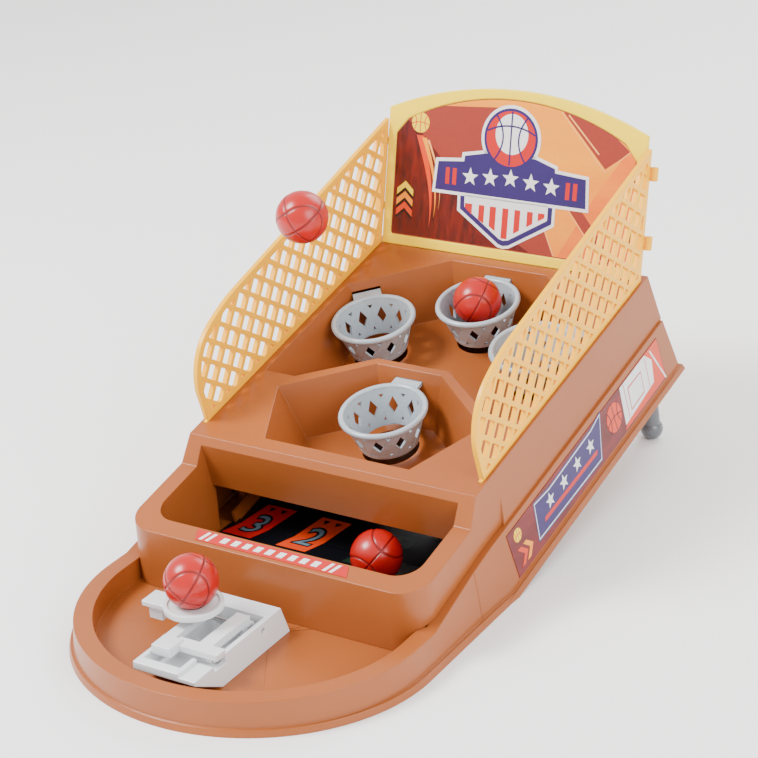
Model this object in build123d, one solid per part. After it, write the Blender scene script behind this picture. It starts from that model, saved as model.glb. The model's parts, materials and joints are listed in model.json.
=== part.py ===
from build123d import *
import math
import os

# Tabletop basketball hoop machine. Millimetres, +Z up, player's side towards -Y.
# Court pieces are drawn level, with the middle of the court's front edge at zero,
# and are then tilted and lifted into place. Base pieces are drawn on the ground
# with zero below that same edge.

# ---- overall sizes ----
court_tilt = 12.4            # degrees, rising towards the backboard
court_front_height = 58.6    # top of the court's front edge above the ground
court_length = 186.3
court_width = 160.0
wall = 2.0                   # moulded wall of the housings
deck = 1.8                   # moulded top and floor plates
fit_gap = 0.3                # gap between separate mouldings with curved edges

# ---- upper housing ----
ledge_depth = 27.6           # court top down to the seam between the housings
upper_flare = 0.109          # outward lean of the upper side walls, per mm down
rim_depth = 11.5             # trough rim below the court
slope_run = 10.0             # sloping face in front of the court
trough_front = 55.5          # outer front wall of the trough, ahead of zero
trough_corner = 15.0
well_half_width = 72.0       # ball well seen through the trough opening
well_front = 45.4
well_corner = 12.0
curtain_setback = 3.0        # ahead of the court's front edge
curtain_depth = 28.0

# ---- base ----
base_top_width = 168.8       # at the seam
base_flare = 0.137           # outward lean of the lower walls, per mm down
skirt_depth = 57.6           # court top down to the skirt's top
skirt_height = 3.4
skirt_top_step = 1.4
skirt_bottom_step = 2.4
rear_wall_y = 188.0          # rear wall at the seam
tray_rim_height = 16.0
tray_rim_width = 8.9
tray_half_width = 85.9       # outside of the tray rim
tray_straight = 63.0         # where the sides turn into the round nose
nose_depth = 80.1            # round nose, from there to its tip
nose_flare = 0.04
floor_height = 4.8           # tray and well floor above the ground
join_y = -12.0               # where nose and rear walls meet
rim_end_y = -47.9            # the tray's rim runs on to here, past the trough's rounded corners
seam_bend_y = -4.8           # where the seam starts to follow the court
seam_low = 50.0              # where the seam reaches the tray rim
cover_thickness = 1.6

# ---- pits and baskets (court positions) ----
pit_depth = 28.0
pit_wall = 1.6
pit_draft = 10.0             # how far a pit wall leans in from top to floor
drop_hole_radius = 14.2
hoop_radius = 22.3
hoop_drop = 5.9              # middle of the hoop ring below the court
basket_bottom = 24.0
basket_mouth_radius = 20.8
basket_foot_radius = 14.9
basket_wall = 1.5
lattice_count = 10
front_hoop = (0.0, 50.8)
centre_hoop = (0.0, 148.6)
side_hoop = (46.7, 120.0)
tab_width = 15.0
tab_thickness = 1.8
tab_gap = 0.25

# ---- backboard and nets (court positions) ----
board_y = 180.0
board_width = 151.6
board_side_height = 73.5
board_peak_height = 89.3
board_lean = 25.8            # degrees back from the court's normal
board_thickness = 3.0
board_border = 5.0
sticker_thickness = 0.3
net_inner_x = 76.0
net_thickness = 2.6
net_border = 3.6
net_foot_y = 11.0
net_height = 50.5            # at the front of its straight top edge
net_rear_height = 60.5
lattice_pitch = 9.5
lattice_bar = 2.4
least_window = 1.5           # smaller clipped windows are left closed, mm2
least_edge = 0.5             # shorter window edges are joined

# ---- balls ----
ball_radius = 12.5
seat_gap = 0.3

# ---- launcher (ground positions) ----
launcher_x = -2.75
launcher_width = 36.5
launcher_top = 18.0
launcher_rear_y = -61.0
launcher_front_y = -130.0
launcher_foot_y = -113.4
launcher_lip = 4.0
launcher_pin_radius = 1.25
running_gap = 0.05
pin_y = -79.0
pin_z = 14.0
cup_x = -14.0
cup_y = -91.0
cup_top = 28.5
cup_radius = 13.8

# ---- legs ----
leg_x = 74.0
leg_pin_y = 184.0
leg_pin_drop = 8.5           # pin below the bottom cover
leg_eye_radius = 4.6
leg_pin_radius = 1.5
foot_radius = 6.0
foot_back = 2.0              # foot behind the pin, so that the leg stands on its stop

# ---- screws ----
screw_radius = 1.3
screw_head_radius = 2.6
screw_head_height = 1.3
boss_radius = 3.4
nose_screw_inset = 6.2       # from the outside of the tray's rim
nose_boss_radius = 3.0
cup_wall = 1.1               # wall of the raised screw cups in the bottom cover

sin_tilt = math.sin(math.radians(court_tilt))
cos_tilt = math.cos(math.radians(court_tilt))
base_bottom_depth = skirt_depth + skirt_height


def ground_yz(y, z):
    """Ground position of a court point."""
    return (y * cos_tilt - z * sin_tilt, y * sin_tilt + z * cos_tilt + court_front_height)


def court_plane_y(ground_y, court_z):
    """Court y where a court-parallel plane passes over a ground y."""
    return (ground_y + court_z * sin_tilt) / cos_tilt


skirt_rear_y = rear_wall_y + base_flare * (skirt_depth - ledge_depth) + skirt_bottom_step
nose_tip = tray_straight + nose_depth + nose_flare * tray_rim_height + skirt_bottom_step
rear_ground_y = ground_yz(skirt_rear_y, -base_bottom_depth)[0]
middle_y = (rear_ground_y - nose_tip) / 2

court_place = Location((0, -middle_y, court_front_height), (court_tilt, 0, 0))
ground_place = Location((0, -middle_y, 0))
court_in_ground = Location((0, 0, court_front_height), (court_tilt, 0, 0))
ground_in_court = court_in_ground.inverse()

parts = {}


def add(name, shape, place):
    parts[name] = place * shape


def box(x0, x1, y0, y1, z0, z1):
    return Pos((x0 + x1) / 2, (y0 + y1) / 2, (z0 + z1) / 2) * Box(x1 - x0, y1 - y0, z1 - z0)


def side_prism(points, half_width=110.0):
    """Solid with a side outline of (y, z) points, spanning the width."""
    outline = make_face(Polyline([(y, z) for y, z in points], close=True))
    return extrude(Plane.YZ * outline, half_width, both=True)


def plan_prism(outline, z0, z1):
    return Pos(0, 0, z0) * extrude(outline, z1 - z0)


def tongue(half_width, depth, rear_y):
    """Plan outline: straight sides and a half-elliptic nose."""
    sides = Polyline([(half_width, -tray_straight), (half_width, rear_y),
                      (-half_width, rear_y), (-half_width, -tray_straight)])
    nose = EllipticalCenterArc((0, -tray_straight), half_width, depth,
                               start_angle=180, arc_size=180)
    return make_face([sides, nose])


def rounded_front(half_width, front_y, rear_y, radius):
    """Plan outline with two rounded front corners."""
    outline = Polyline([(half_width, front_y), (half_width, rear_y),
                        (-half_width, rear_y), (-half_width, front_y)], close=True)
    face = make_face(outline)
    front = face.vertices().filter_by(lambda v: abs(v.Y - front_y) < 0.01)
    return fillet(front, radius)


def tapered_rect(half_width, flare, front_y, rear_y, z0, z1, inset=0.0):
    """Court block from depth z0 to z1, wider towards the bottom by flare per mm."""
    def section(z):
        grow = -flare * z - inset
        y1 = rear_y + grow
        w = half_width + grow
        return Pos(0, (front_y + y1) / 2, z) * Rectangle(2 * w, y1 - front_y)
    return loft([section(z0), section(z1)])


def base_half_width():
    """Base half-width carried up to the court plane, for tapered_rect."""
    return base_top_width / 2 - base_flare * ledge_depth


def base_rear_line():
    return rear_wall_y - base_flare * ledge_depth


def base_profile(top_drop, bottom_rise, far=170.0):
    """Side outline of the base on the ground, with its top lowered or bottom raised."""
    rear_y = court_length + 30
    seam_front = ground_yz(seam_bend_y, -ledge_depth)
    seam_rear = ground_yz(rear_y, -ledge_depth - top_drop)
    low_rear = ground_yz(rear_y, -base_bottom_depth + bottom_rise)
    bend = ground_yz(0, -base_bottom_depth + bottom_rise)
    slope = math.tan(math.radians(court_tilt))
    bend_y = bend[0] + (bottom_rise - bend[1]) / slope
    return [(-far, bottom_rise), (-far, tray_rim_height - top_drop),
            (-seam_low, tray_rim_height - top_drop), (seam_front[0], seam_front[1] - top_drop),
            seam_rear, low_rear, (bend_y, bottom_rise)]


def base_walls(inset, bottom_z=0.0):
    """Nose and rear walls of the base as one solid block, inset from outside."""
    grow_low = base_flare * tray_rim_height
    nose_top = tongue(tray_half_width - inset - base_flare * 24, nose_depth - inset - nose_flare * 24,
                      join_y)
    nose_low = tongue(tray_half_width - inset + grow_low,
                      nose_depth - inset + nose_flare * tray_rim_height, join_y)
    nose = loft([Pos(0, 0, bottom_z) * nose_low, Pos(0, 0, tray_rim_height + 24) * nose_top])
    rear = tapered_rect(base_half_width(), base_flare, -60, base_rear_line(), -10, -70, inset)
    rear = court_in_ground * rear
    rear = rear & box(-120, 120, join_y, 260, -20, 130)
    return nose + rear


def skirt():
    """Flange round the foot of the base."""
    grow_top = base_flare * tray_rim_height + skirt_top_step
    grow_low = base_flare * tray_rim_height + skirt_bottom_step
    bend_y = base_profile(0, 0)[-1][0]
    nose = loft([
        tongue(tray_half_width + grow_low, nose_depth + skirt_bottom_step, bend_y),
        Pos(0, 0, skirt_height) * tongue(tray_half_width + grow_top, nose_depth + skirt_top_step,
                                         bend_y),
    ])
    def section(depth, step):
        w = base_half_width() + base_flare * skirt_depth + step
        y1 = base_rear_line() + base_flare * skirt_depth + step
        return Pos(0, y1 / 2 - 5, -depth) * Rectangle(2 * w, y1 + 10)
    rear = loft([section(base_bottom_depth, skirt_bottom_step), section(skirt_depth, skirt_top_step)])
    rear = court_in_ground * rear
    return nose + (rear & box(-120, 120, bend_y - 8, 260, 0, 130))


def cover_screw_places():
    """Court places of the screws into the upper housing's bosses."""
    return [(side * 75.6, y) for side in (-1, 1) for y in (22.0, 98.0, 166.0)]


def nose_screw_places():
    """Ground places of the screws into the bosses inside the tray's rim."""
    half_width = tray_half_width - nose_screw_inset
    depth = nose_depth - nose_screw_inset
    turns = [math.radians(a) for a in (22, 68, 112, 158)]
    return [(half_width * math.cos(a), -tray_straight - depth * math.sin(a)) for a in turns]


def launcher_screw_places():
    return [(launcher_x - 11, -67.5), (launcher_x + 11, -67.5)]


ramp_top_depth = pit_depth + pit_wall + 2 * ball_radius + 1.0
ramp_thickness = 1.6
ramp_half_width = 70.0
floor_end_y = ground_yz(2.6, -ramp_top_depth)[0]
ramp_film_front = 3.4
ramp_film_rear = 45.0
rib_x = 24.0                 # lane ribs on the ramp, behind its film
rib_front = 50.0
rib_length = 40.0
rib_height = 4.0


def base_tray():
    """Lower housing: nose tray, its rim, the side walls, the well floor and the skirt."""
    body = base_walls(0) & side_prism(base_profile(0, 0))
    body += skirt() & side_prism(base_profile(0, 0))
    inner_w = tray_half_width - tray_rim_width
    inner_d = nose_depth - tray_rim_width
    bowl = plan_prism(tongue(inner_w, inner_d, rim_end_y), floor_height, 40)
    body -= bowl
    # room inside the side walls, under a flat seam ledge
    room = base_walls(wall) & side_prism(base_profile(deck, floor_height))
    body -= room & box(-120, 120, rim_end_y, 300, 0, 130)
    mouth = box(-80.0, 80.0, rim_end_y, 184.5, 0, 130)
    body -= mouth & side_prism(base_profile(-5, floor_height))
    lower_room = base_walls(wall) & side_prism(base_profile(deck, 0))
    body -= lower_room & box(-120, 120, floor_end_y, 300, -5, 130)
    # hollow under the tray floor and up inside the rim
    inside = base_walls(wall, -1.0)
    body -= inside & box(-120, 120, -200, floor_end_y, -1, floor_height - deck)
    rim_core = inside & box(-120, 120, -200, rim_end_y - wall, 0, tray_rim_height - deck)
    rim_core -= plan_prism(tongue(inner_w + wall, inner_d + wall, 0), -5, 40)
    body -= rim_core
    boss_low = floor_height - deck
    boss_high = tray_rim_height - deck / 2
    for x, y in nose_screw_places():
        boss = Pos(x, y, (boss_low + boss_high) / 2) * Cylinder(nose_boss_radius, boss_high - boss_low)
        body += boss - bowl
        body -= Pos(x, y, boss_low + 4.5) * Cylinder(screw_radius + running_gap, 9.4)
    for x, y in launcher_screw_places():
        body -= Pos(x, y, floor_height) * Cylinder(screw_radius + running_gap, 6.0)
    return body


def screw_down(length):
    """Pan-head screw entering upwards, head face at zero."""
    head = Pos(0, 0, screw_head_height / 2) * Cylinder(screw_head_radius, screw_head_height)
    shank = Pos(0, 0, screw_head_height + length / 2) * Cylinder(screw_radius, length)
    cross = Box(3.0, 0.7, 1.4) + Box(0.7, 3.0, 1.4)
    return head + shank - cross


def bottom_cover():
    """Plate that closes the base from below, bent where the court starts to climb."""
    layer = side_prism(base_profile(0, 0)) - side_prism(base_profile(-60, cover_thickness))
    plate = base_walls(wall + fit_gap) & layer
    plate &= box(-120, 120, -200, 300, -1, 60)
    depth = base_bottom_depth
    extras = []
    cuts = []
    for x, y in cover_screw_places():
        extras.append(Pos(x, y, -depth + 1.6) * Cylinder(boss_radius + 1.4, 3.2))
        cuts.append(Pos(x, y, -depth + 0.8) * Cylinder(screw_head_radius + 0.3, 1.6))
        cuts.append(Pos(x, y, -depth + 2) * Cylinder(screw_radius + 0.3, 6))
    for side in (-1, 1):
        for x_lug in (leg_x - leg_lug_reach, leg_x + leg_lug_reach):
            drop = -depth - leg_pin_drop
            extras.append(box(side * x_lug - 1.5, side * x_lug + 1.5, leg_pin_y - 5,
                              leg_pin_y + 5, drop, -depth + 0.5))
            extras.append(Pos(side * x_lug, leg_pin_y, drop) * Rot(0, 90, 0) * Cylinder(5, 3))
            cuts.append(Pos(side * x_lug, leg_pin_y, drop) * Rot(0, 90, 0)
                        * Cylinder(leg_pin_radius + running_gap, 4))
    for piece in extras:
        plate += court_in_ground * piece
    for piece in cuts:
        plate -= court_in_ground * piece
    cup_top = floor_height - deck
    for x, y in nose_screw_places():
        plate += Pos(x, y, cup_top / 2) * Cylinder(screw_head_radius + fit_gap + cup_wall, cup_top)
        plate -= Pos(x, y, 0.8) * Cylinder(screw_head_radius + fit_gap, 1.6)
        plate -= Pos(x, y, 2) * Cylinder(screw_radius + fit_gap, 6)
    return plate


def top_profile(drop):
    """Side outline under the court's top, rim and slope, lowered by drop, as court points."""
    face_y = court_plane_y(-trough_front + drop, -rim_depth - drop)
    low_y = court_plane_y(-trough_front + drop, -90)
    slope_slip = drop * 0.36
    return [(low_y, -90), (face_y, -rim_depth - drop), (-slope_run - slope_slip, -rim_depth - drop),
            (-slope_slip, -drop), (court_length + 40, -drop), (court_length + 40, -90)]


def seam_profile(raise_by=0.0):
    """Everything above the seam between the housings, on the ground."""
    seam_front = ground_yz(seam_bend_y, -ledge_depth)
    seam_rear = ground_yz(court_length + 40, -ledge_depth)
    return [(-170, tray_rim_height + raise_by), (-seam_low, tray_rim_height + raise_by),
            (seam_front[0], seam_front[1] + raise_by), (seam_rear[0], seam_rear[1] + raise_by),
            (seam_rear[0], 200), (-170, 200)]


def pit_solid(outline, depth, draft, grow):
    """Drafted block through a court opening; grow adds the pit's wall all round."""
    top = make_face(Polyline([(x, y) for x, y in outline], close=True))
    low = offset(top, -draft, kind=Kind.INTERSECTION)
    if grow:
        top = offset(top, grow, kind=Kind.INTERSECTION)
        low = offset(low, grow, kind=Kind.INTERSECTION)
    return loft([top, Pos(0, 0, -depth) * low])


front_pit = [(-40.5, 7.9), (40.5, 7.9), (58.0, 46.9), (18.6, 78.4), (-18.6, 78.4), (-58.0, 46.9)]
rear_pit = [(-72.4, 57.0), (-54.5, 57.0), (-20.5, 82.6), (20.5, 82.6), (54.5, 57.0), (72.4, 57.0),
            (72.4, 138.2), (28.0, 173.6), (-28.0, 173.6), (-72.4, 138.2)]


def hoop_places():
    """Each basket's name, centre and the direction of its wall tab, in degrees."""
    wall_angle = math.degrees(math.atan2(173.6 - 138.2, 72.4 - 28.0))
    x, y = side_hoop
    return [("front", front_hoop, 90.0), ("centre", centre_hoop, 90.0),
            ("left", (-x, y), 90.0 + wall_angle), ("right", (x, y), 90.0 - wall_angle)]


def tab_reach(name):
    """From the hoop's centre to the far side of the pit wall that holds its tab."""
    lean = pit_draft / pit_depth * hoop_drop
    reach = {"front": front_pit[3][1] - front_hoop[1], "centre": rear_pit[7][1] - centre_hoop[1]}
    x0, y0 = rear_pit[9]
    x1, y1 = rear_pit[8]
    x, y = -side_hoop[0], side_hoop[1]
    side = abs((x1 - x0) * (y - y0) - (y1 - y0) * (x - x0)) / math.hypot(x1 - x0, y1 - y0)
    return reach.get(name, side) - lean + pit_wall + 1.2


def tab_block(name, centre, angle, grow):
    """Flat tab from the hoop to its wall, with grow all round."""
    reach = tab_reach(name)
    start = hoop_radius - 2.0
    block = box(start, reach, -tab_width / 2 - grow, tab_width / 2 + grow,
                -hoop_drop - tab_thickness / 2 - grow, -hoop_drop + tab_thickness / 2 + grow)
    return Pos(*centre, 0) * Rot(0, 0, angle) * block


def peg_places():
    """Feet of one net: y range of each peg."""
    return [(net_foot_y - 1.5, net_foot_y + 4.5), (170.0, 176.0)]


def upper_housing():
    """Court top with its pits, the sloping face, the trough rim and well, and the curtain."""
    outer = court_in_ground * tapered_rect(court_width / 2, upper_flare, -80, court_length, 0, -75)
    outer &= court_in_ground * side_prism(top_profile(0))
    front_half = court_width / 2 + upper_flare * rim_depth + 0.2
    corner_plan = rounded_front(front_half, -trough_front, 60, trough_corner)
    outer &= plan_prism(corner_plan, -20, 130) + box(-120, 120, 20, 260, -20, 140)
    shell = outer & side_prism(seam_profile())
    room = tapered_rect(court_width / 2, upper_flare, -80, court_length, 0, -90, wall)
    room = court_in_ground * (room & side_prism(top_profile(deck)))
    inner_plan = rounded_front(front_half - wall, -trough_front + wall, 60, trough_corner - wall)
    room &= plan_prism(inner_plan, -20, 130) + box(-120, 120, 20, 260, -20, 140)
    shell -= room
    # front wall of the trough, down to the tray floor between the tray's rims
    rim_inside = tongue(tray_half_width - tray_rim_width - fit_gap,
                        nose_depth - tray_rim_width - fit_gap, rim_end_y - fit_gap)
    front_wall = plan_prism(corner_plan, floor_height, tray_rim_height + 0.5)
    front_wall -= plan_prism(inner_plan, 0, 40)
    shell += front_wall & plan_prism(rim_inside, 0, 40)
    # ball well: side and front walls down to the floor, open at the back below the curtain
    tub_out = rounded_front(well_half_width + deck, -well_front - deck, 6, well_corner + deck)
    tub_in = rounded_front(well_half_width, -well_front, 20, well_corner)
    tub = plan_prism(tub_out, floor_height, 90) - plan_prism(tub_in, 0, 120)
    under_top = court_in_ground * side_prism(top_profile(deck / 2))
    shell += tub & under_top
    # curtain behind the well
    curtain = box(-well_half_width - 1, well_half_width + 1, -curtain_setback,
                  -curtain_setback + deck, -curtain_depth, -deck)
    shell += court_in_ground * (curtain & side_prism(top_profile(0.5)))
    opening = plan_prism(tub_in, floor_height, 120)
    opening &= court_in_ground * box(-90, 90, -90, -curtain_setback, -80, 20)
    shell -= opening
    # pits
    court = []
    for outline in (front_pit, rear_pit):
        court.append((pit_solid(outline, pit_depth + pit_wall, pit_draft, pit_wall),
                      pit_solid(outline, pit_depth, pit_draft, 0)))
    for block, hollow in court:
        shell += court_in_ground * (block & box(-120, 120, -10, 260, -80, -0.2))
    for block, hollow in court:
        shell -= court_in_ground * (Pos(0, 0, 0.01) * hollow)
    cuts = []
    for name, centre, angle in hoop_places():
        cuts.append(Pos(*centre, -pit_depth) * Cylinder(drop_hole_radius, 8))
        cuts.append(tab_block(name, centre, angle, tab_gap))
    for side in (-1, 1):
        for y0, y1 in peg_places():
            x0 = net_inner_x + 0.4
            x1 = net_inner_x + net_thickness - 0.4
            cuts.append(box(min(side * (x0 - tab_gap), side * (x1 + tab_gap)),
                            max(side * (x0 - tab_gap), side * (x1 + tab_gap)),
                            y0 - tab_gap, y1 + tab_gap, -4, 1))
        cuts.append(box(side * 45 - 10 - tab_gap, side * 45 + 10 + tab_gap, board_y + 0.6 - tab_gap,
                        board_y + 2.6 + tab_gap, -4, 1))
    for x, y in cover_screw_places():
        top = -deck / 2
        low = -base_bottom_depth + 3.2
        shell += court_in_ground * (Pos(x, y, (top + low) / 2) * Cylinder(boss_radius, top - low))
        cuts.append(Pos(x, y, low + 5) * Cylinder(screw_radius + running_gap, 10.2))
    for piece in cuts:
        shell -= court_in_ground * piece
    return shell


def return_ramp():
    """Inner floor that rolls every ball forward to the well, with two lane ribs."""
    y0 = 2.8
    y1 = court_length - 6
    top = -ramp_top_depth
    w = ramp_half_width
    plate = box(-w, w, y0, y1, top - ramp_thickness, top)
    for side in (-1, 1):
        plate += box(side * w - 1.6 if side > 0 else -w, w if side > 0 else -w + 1.6, y0, y1,
                     top - 0.1, top + 6)
        plate += box(side * rib_x - 0.8, side * rib_x + 0.8, rib_front, rib_front + rib_length,
                     top - 0.1, top + rib_height)
    plate += box(-w, w, y1 - 1.6, y1, top - 0.1, top + 10)
    foot_top = top - ramp_thickness + 0.1
    foot_low = -base_bottom_depth + cover_thickness
    for y in (30, 90, 150):
        plate += box(-w + 4, w - 4, y - 0.8, y + 0.8, foot_low, foot_top)
    return plate


def score_sticker():
    """Printed film on the well floor that carries on up the ramp."""
    y0 = -well_front + 6
    t = sticker_thickness
    w = well_half_width - 1.5
    flat = box(-w, w, y0, floor_end_y - 0.2, floor_height, floor_height + t)
    top = -ramp_top_depth
    climb = court_in_ground * box(-w + 3.4, w - 3.4, ramp_film_front, ramp_film_rear, top, top + t)
    return flat, climb


def basket_shell():
    """One basket: ring, tapered wall with diamond and triangle windows, foot ring."""
    mouth_z = -hoop_drop
    foot_z = -basket_bottom
    section = make_face(Polyline([
        (basket_mouth_radius - basket_wall, mouth_z), (basket_mouth_radius, mouth_z),
        (basket_foot_radius, foot_z), (basket_foot_radius - basket_wall, foot_z)], close=True))
    cup = revolve(Plane.XZ * section, Axis.Z)
    ring_mid = hoop_radius - 1.5
    ring = Pos(0, 0, mouth_z) * Torus(ring_mid, 1.5)
    windows = []
    height = mouth_z - foot_z
    mid = foot_z + height * 0.5
    step = 360 / lattice_count
    diamond = [(0, -4.5), (2.5, 0), (0, 4.5), (-2.5, 0)]
    upper = [(-2.4, height / 2 - 2.2), (2.4, height / 2 - 2.2), (0, height / 2 - 5.6)]
    lower = [(-1.9, -height / 2 + 2.0), (1.9, -height / 2 + 2.0), (0, -height / 2 + 5.0)]
    for index in range(lattice_count):
        for shape, turn in ((diamond, 0.0), (upper, 0.5), (lower, 0.5)):
            window = make_face(Polyline([(x, z) for x, z in shape], close=True))
            window = extrude(Plane.YZ * window, 12)
            windows.append(Rot(0, 0, (index + turn) * step) * Pos(12, 0, mid) * window)
    cup -= Compound(children=windows)
    return cup + ring


def basket(shell, name, centre, angle):
    """Basket turned to its wall, with the tab that plugs into the wall's slot."""
    return Pos(*centre, 0) * Rot(0, 0, angle) * shell + tab_block(name, centre, angle, 0)


def backboard():
    """Arched board with a raised border, leaning back, with two tabs into the court."""
    w = board_width / 2
    sides = Polyline([(w, board_side_height), (w, -2), (-w, -2), (-w, board_side_height)])
    arch = ThreePointArc((-w, board_side_height), (0, board_peak_height), (w, board_side_height))
    outline = make_face([sides, arch])
    board = extrude(Plane.XZ * outline, -board_thickness)
    board -= extrude(Plane.XZ * board_inner(), 0.8, both=True)
    board = Pos(0, board_y, 0) * Rot(-board_lean, 0, 0) * board
    board &= box(-200, 200, 100, 300, 0, 200)
    for side in (-1, 1):
        board += box(side * 45 - 10, side * 45 + 10, board_y + 0.6, board_y + 2.6, -4, 1.0)
    return board


def board_inner():
    """Outline of the recess inside the board's border, with clipped top corners."""
    w = board_width / 2 - board_border
    low = board_border + 0.5
    clip = 7.0
    high = board_side_height - board_border - 1.5
    arch_drop = board_border
    sides = Polyline([(-w + clip, high + 1.5), (-w, high - clip), (-w, low), (w, low),
                      (w, high - clip), (w - clip, high + 1.5)])
    arch = ThreePointArc((w - clip, high + 1.5), (0, board_peak_height - arch_drop),
                         (-w + clip, high + 1.5))
    return fillet(make_face([sides, arch]).vertices(), 1.6)


def backboard_sticker():
    inner = offset(board_inner(), -0.15)
    film = Pos(0, 0.8, 0) * extrude(Plane.XZ * inner, sticker_thickness)
    return Pos(0, board_y, 0) * Rot(-board_lean, 0, 0) * film


def net_outline():
    """Side outline of a net as (y, z): pointed foot, curved front, straight top."""
    lean = math.tan(math.radians(board_lean))
    rear_low = (board_y + 0.5, 0)
    rear_high = (board_y + 0.5 + net_rear_height * lean, net_rear_height)
    foot = Polyline([(net_foot_y + 5, 0), (net_foot_y, 0), (net_foot_y - 1.0, 15.0)])
    front = Spline((net_foot_y - 1.0, 15.0), (net_foot_y + 1.5, 29.0), (net_foot_y + 12.5, 41.5),
                   (net_foot_y + 30.0, 47.6), (net_foot_y + 54.0, net_height),
                   tangents=[(-0.1, 1.0), (1.0, 0.07)])
    rest = Polyline([(net_foot_y + 54.0, net_height), rear_high, rear_low, (net_foot_y + 5, 0)])
    return make_face([foot, front, rest])


def straight_sided(window):
    """The same window with straight edges only and with its nearly coincident corners joined."""
    middle = window.center()
    around = sorted(window.vertices(), key=lambda v: math.atan2(v.Y - middle.Y, v.X - middle.X))
    corners = []
    for v in around:
        if not corners or (Vector(v) - corners[-1]).length > least_edge:
            corners.append(Vector(v))
    if (corners[0] - corners[-1]).length <= least_edge:
        corners.pop()
    return make_face(Polyline([(c.X, c.Y) for c in corners], close=True))


def lattice_windows():
    """Square windows between crossed bars at 45 degrees, clipped to the net's inside."""
    inner = offset(net_outline(), -net_border)
    size = lattice_pitch - lattice_bar
    half_step = lattice_pitch * math.sqrt(0.5)
    reach_y = board_y + net_rear_height * math.tan(math.radians(board_lean))
    count = math.ceil((reach_y + net_rear_height) / (2 * half_step)) + 1
    windows = []
    for i in range(-count, 2 * count):
        for j in range(-2 * count, count):
            y = (i - j) * half_step + 3.2
            z = (i + j) * half_step + 1.0
            if 0 < y < reach_y + size and -size < z < net_rear_height + size:
                cell = Pos(y, z) * Rot(0, 0, 45) * Rectangle(size, size)
                for window in (Sketch() + (cell & inner)).faces():
                    if window.area > least_window:
                        windows.append(straight_sided(window))
    return windows


def net(side):
    """Side net: one moulded lattice with a border, two pegs and two hook knuckles."""
    plate = extrude(net_outline(), net_thickness)
    plate -= [Pos(0, 0, -1) * extrude(window, net_thickness + 2) for window in lattice_windows()]
    for y0, y1 in peg_places():
        plate += box(y0, y1, -3.2, 0.5, 0.4, net_thickness - 0.4)
    plate = Pos(net_inner_x, 0, 0) * Plane.YZ.location * plate
    for height in (20.0, 55.0):
        knuckle = Cylinder(2.0, 7.0) - Cylinder(0.9, 8.0)
        arm = box(net_inner_x + 0.3, net_inner_x + net_thickness + 0.8, 0.2, 3.2,
                  height - 2.0, height + 2.0)
        knuckle = Pos(net_inner_x + net_thickness + 1.6, 1.6, height) * knuckle
        plate += Pos(0, board_y, 0) * Rot(-board_lean, 0, 0) * (knuckle + arm)
    return plate if side > 0 else mirror(plate, Plane.YZ)


def ball():
    return Sphere(ball_radius)


def launcher_housing():
    """White base of the launcher: wedge-ended box with a sunken deck for the lever."""
    half = launcher_width / 2
    side = side_prism([(launcher_rear_y, floor_height), (launcher_rear_y - 3, launcher_top),
                       (launcher_front_y, launcher_top), (launcher_front_y, launcher_top - launcher_lip),
                       (launcher_foot_y, floor_height)], 60)
    end_face = make_face(Polyline([(-half, floor_height), (half, floor_height),
                                   (half - 1.8, launcher_top), (-half + 1.8, launcher_top)],
                                  close=True))
    ends = Pos(launcher_x, 0, 0) * extrude(Plane.XZ * end_face, 200)
    body = side & ends
    top_half = half - 1.8
    x0 = launcher_x - top_half + 2.4
    x1 = launcher_x + top_half - 2.4
    body -= box(x0, x1, launcher_deck_front, launcher_deck_rear, launcher_deck_floor, 30)
    body -= box(x0, launcher_x + 5.5, launcher_front_y + 5, launcher_deck_front + 1,
                launcher_well_floor, 30)
    body -= box(launcher_x + 8.0, x1 + 4, launcher_front_y - 1, launcher_deck_front + 1, 16.2, 30)
    body -= box(x0, x1 + 4, cross_front - cross_play, cross_rear + cross_play, cross_slot_floor, 30)
    bore = Rot(0, 90, 0) * Cylinder(launcher_pin_radius + running_gap, 60)
    body -= Pos(launcher_x, pin_y, pin_z) * bore
    for x, y in launcher_screw_places():
        body -= Pos(x, y, floor_height + 4) * Cylinder(screw_radius + running_gap, 8.4)
    return body


launcher_deck_front = -110.6
launcher_deck_rear = -73.5
launcher_deck_floor = 7.0
launcher_well_floor = 12.6
cross_front = -115.0         # front of the lever's cross press bar
cross_rear = -108.5
cross_play = 1.0             # room before and behind it in its slot
cross_slot_floor = 13.8      # room for the cross bar when it is pressed
rail_x = 4.0
rail_width = 7.0


def launcher_lever():
    """Rocking lever: rail on the pivot, cross press bar, front block and the cup's arm."""
    eye = Pos(rail_x, pin_y, pin_z) * Rot(0, 90, 0) * Cylinder(3.2, rail_width)
    rail = box(rail_x - rail_width / 2, rail_x + rail_width / 2, -110, pin_y, 16.4, 20.4)
    neck = box(rail_x - rail_width / 2, rail_x + rail_width / 2, pin_y - 6, pin_y, pin_z - 1, 17)
    cross = box(-9, 15.4, cross_front, cross_rear, 18.4, 21.4)
    block = box(-15.5, -5.5, -121, -111, 17.9, 22.4)
    front = box(-15.5, -2, -115, -110, 18.4, 21.4)
    arm = box(-16.5, -10.5, -113, cup_y, 18.4, 21.4)
    stem_top = cup_top - 3.5
    stem = Pos(cup_x, cup_y, (20.8 + stem_top) / 2) * Cylinder(4.0, stem_top - 20.8)
    lever = rail + eye + neck + cross + block + front + arm + stem
    lever -= Pos(rail_x, pin_y, pin_z) * Rot(0, 90, 0) * Cylinder(
        launcher_pin_radius + running_gap, 30)
    return lever


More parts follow.
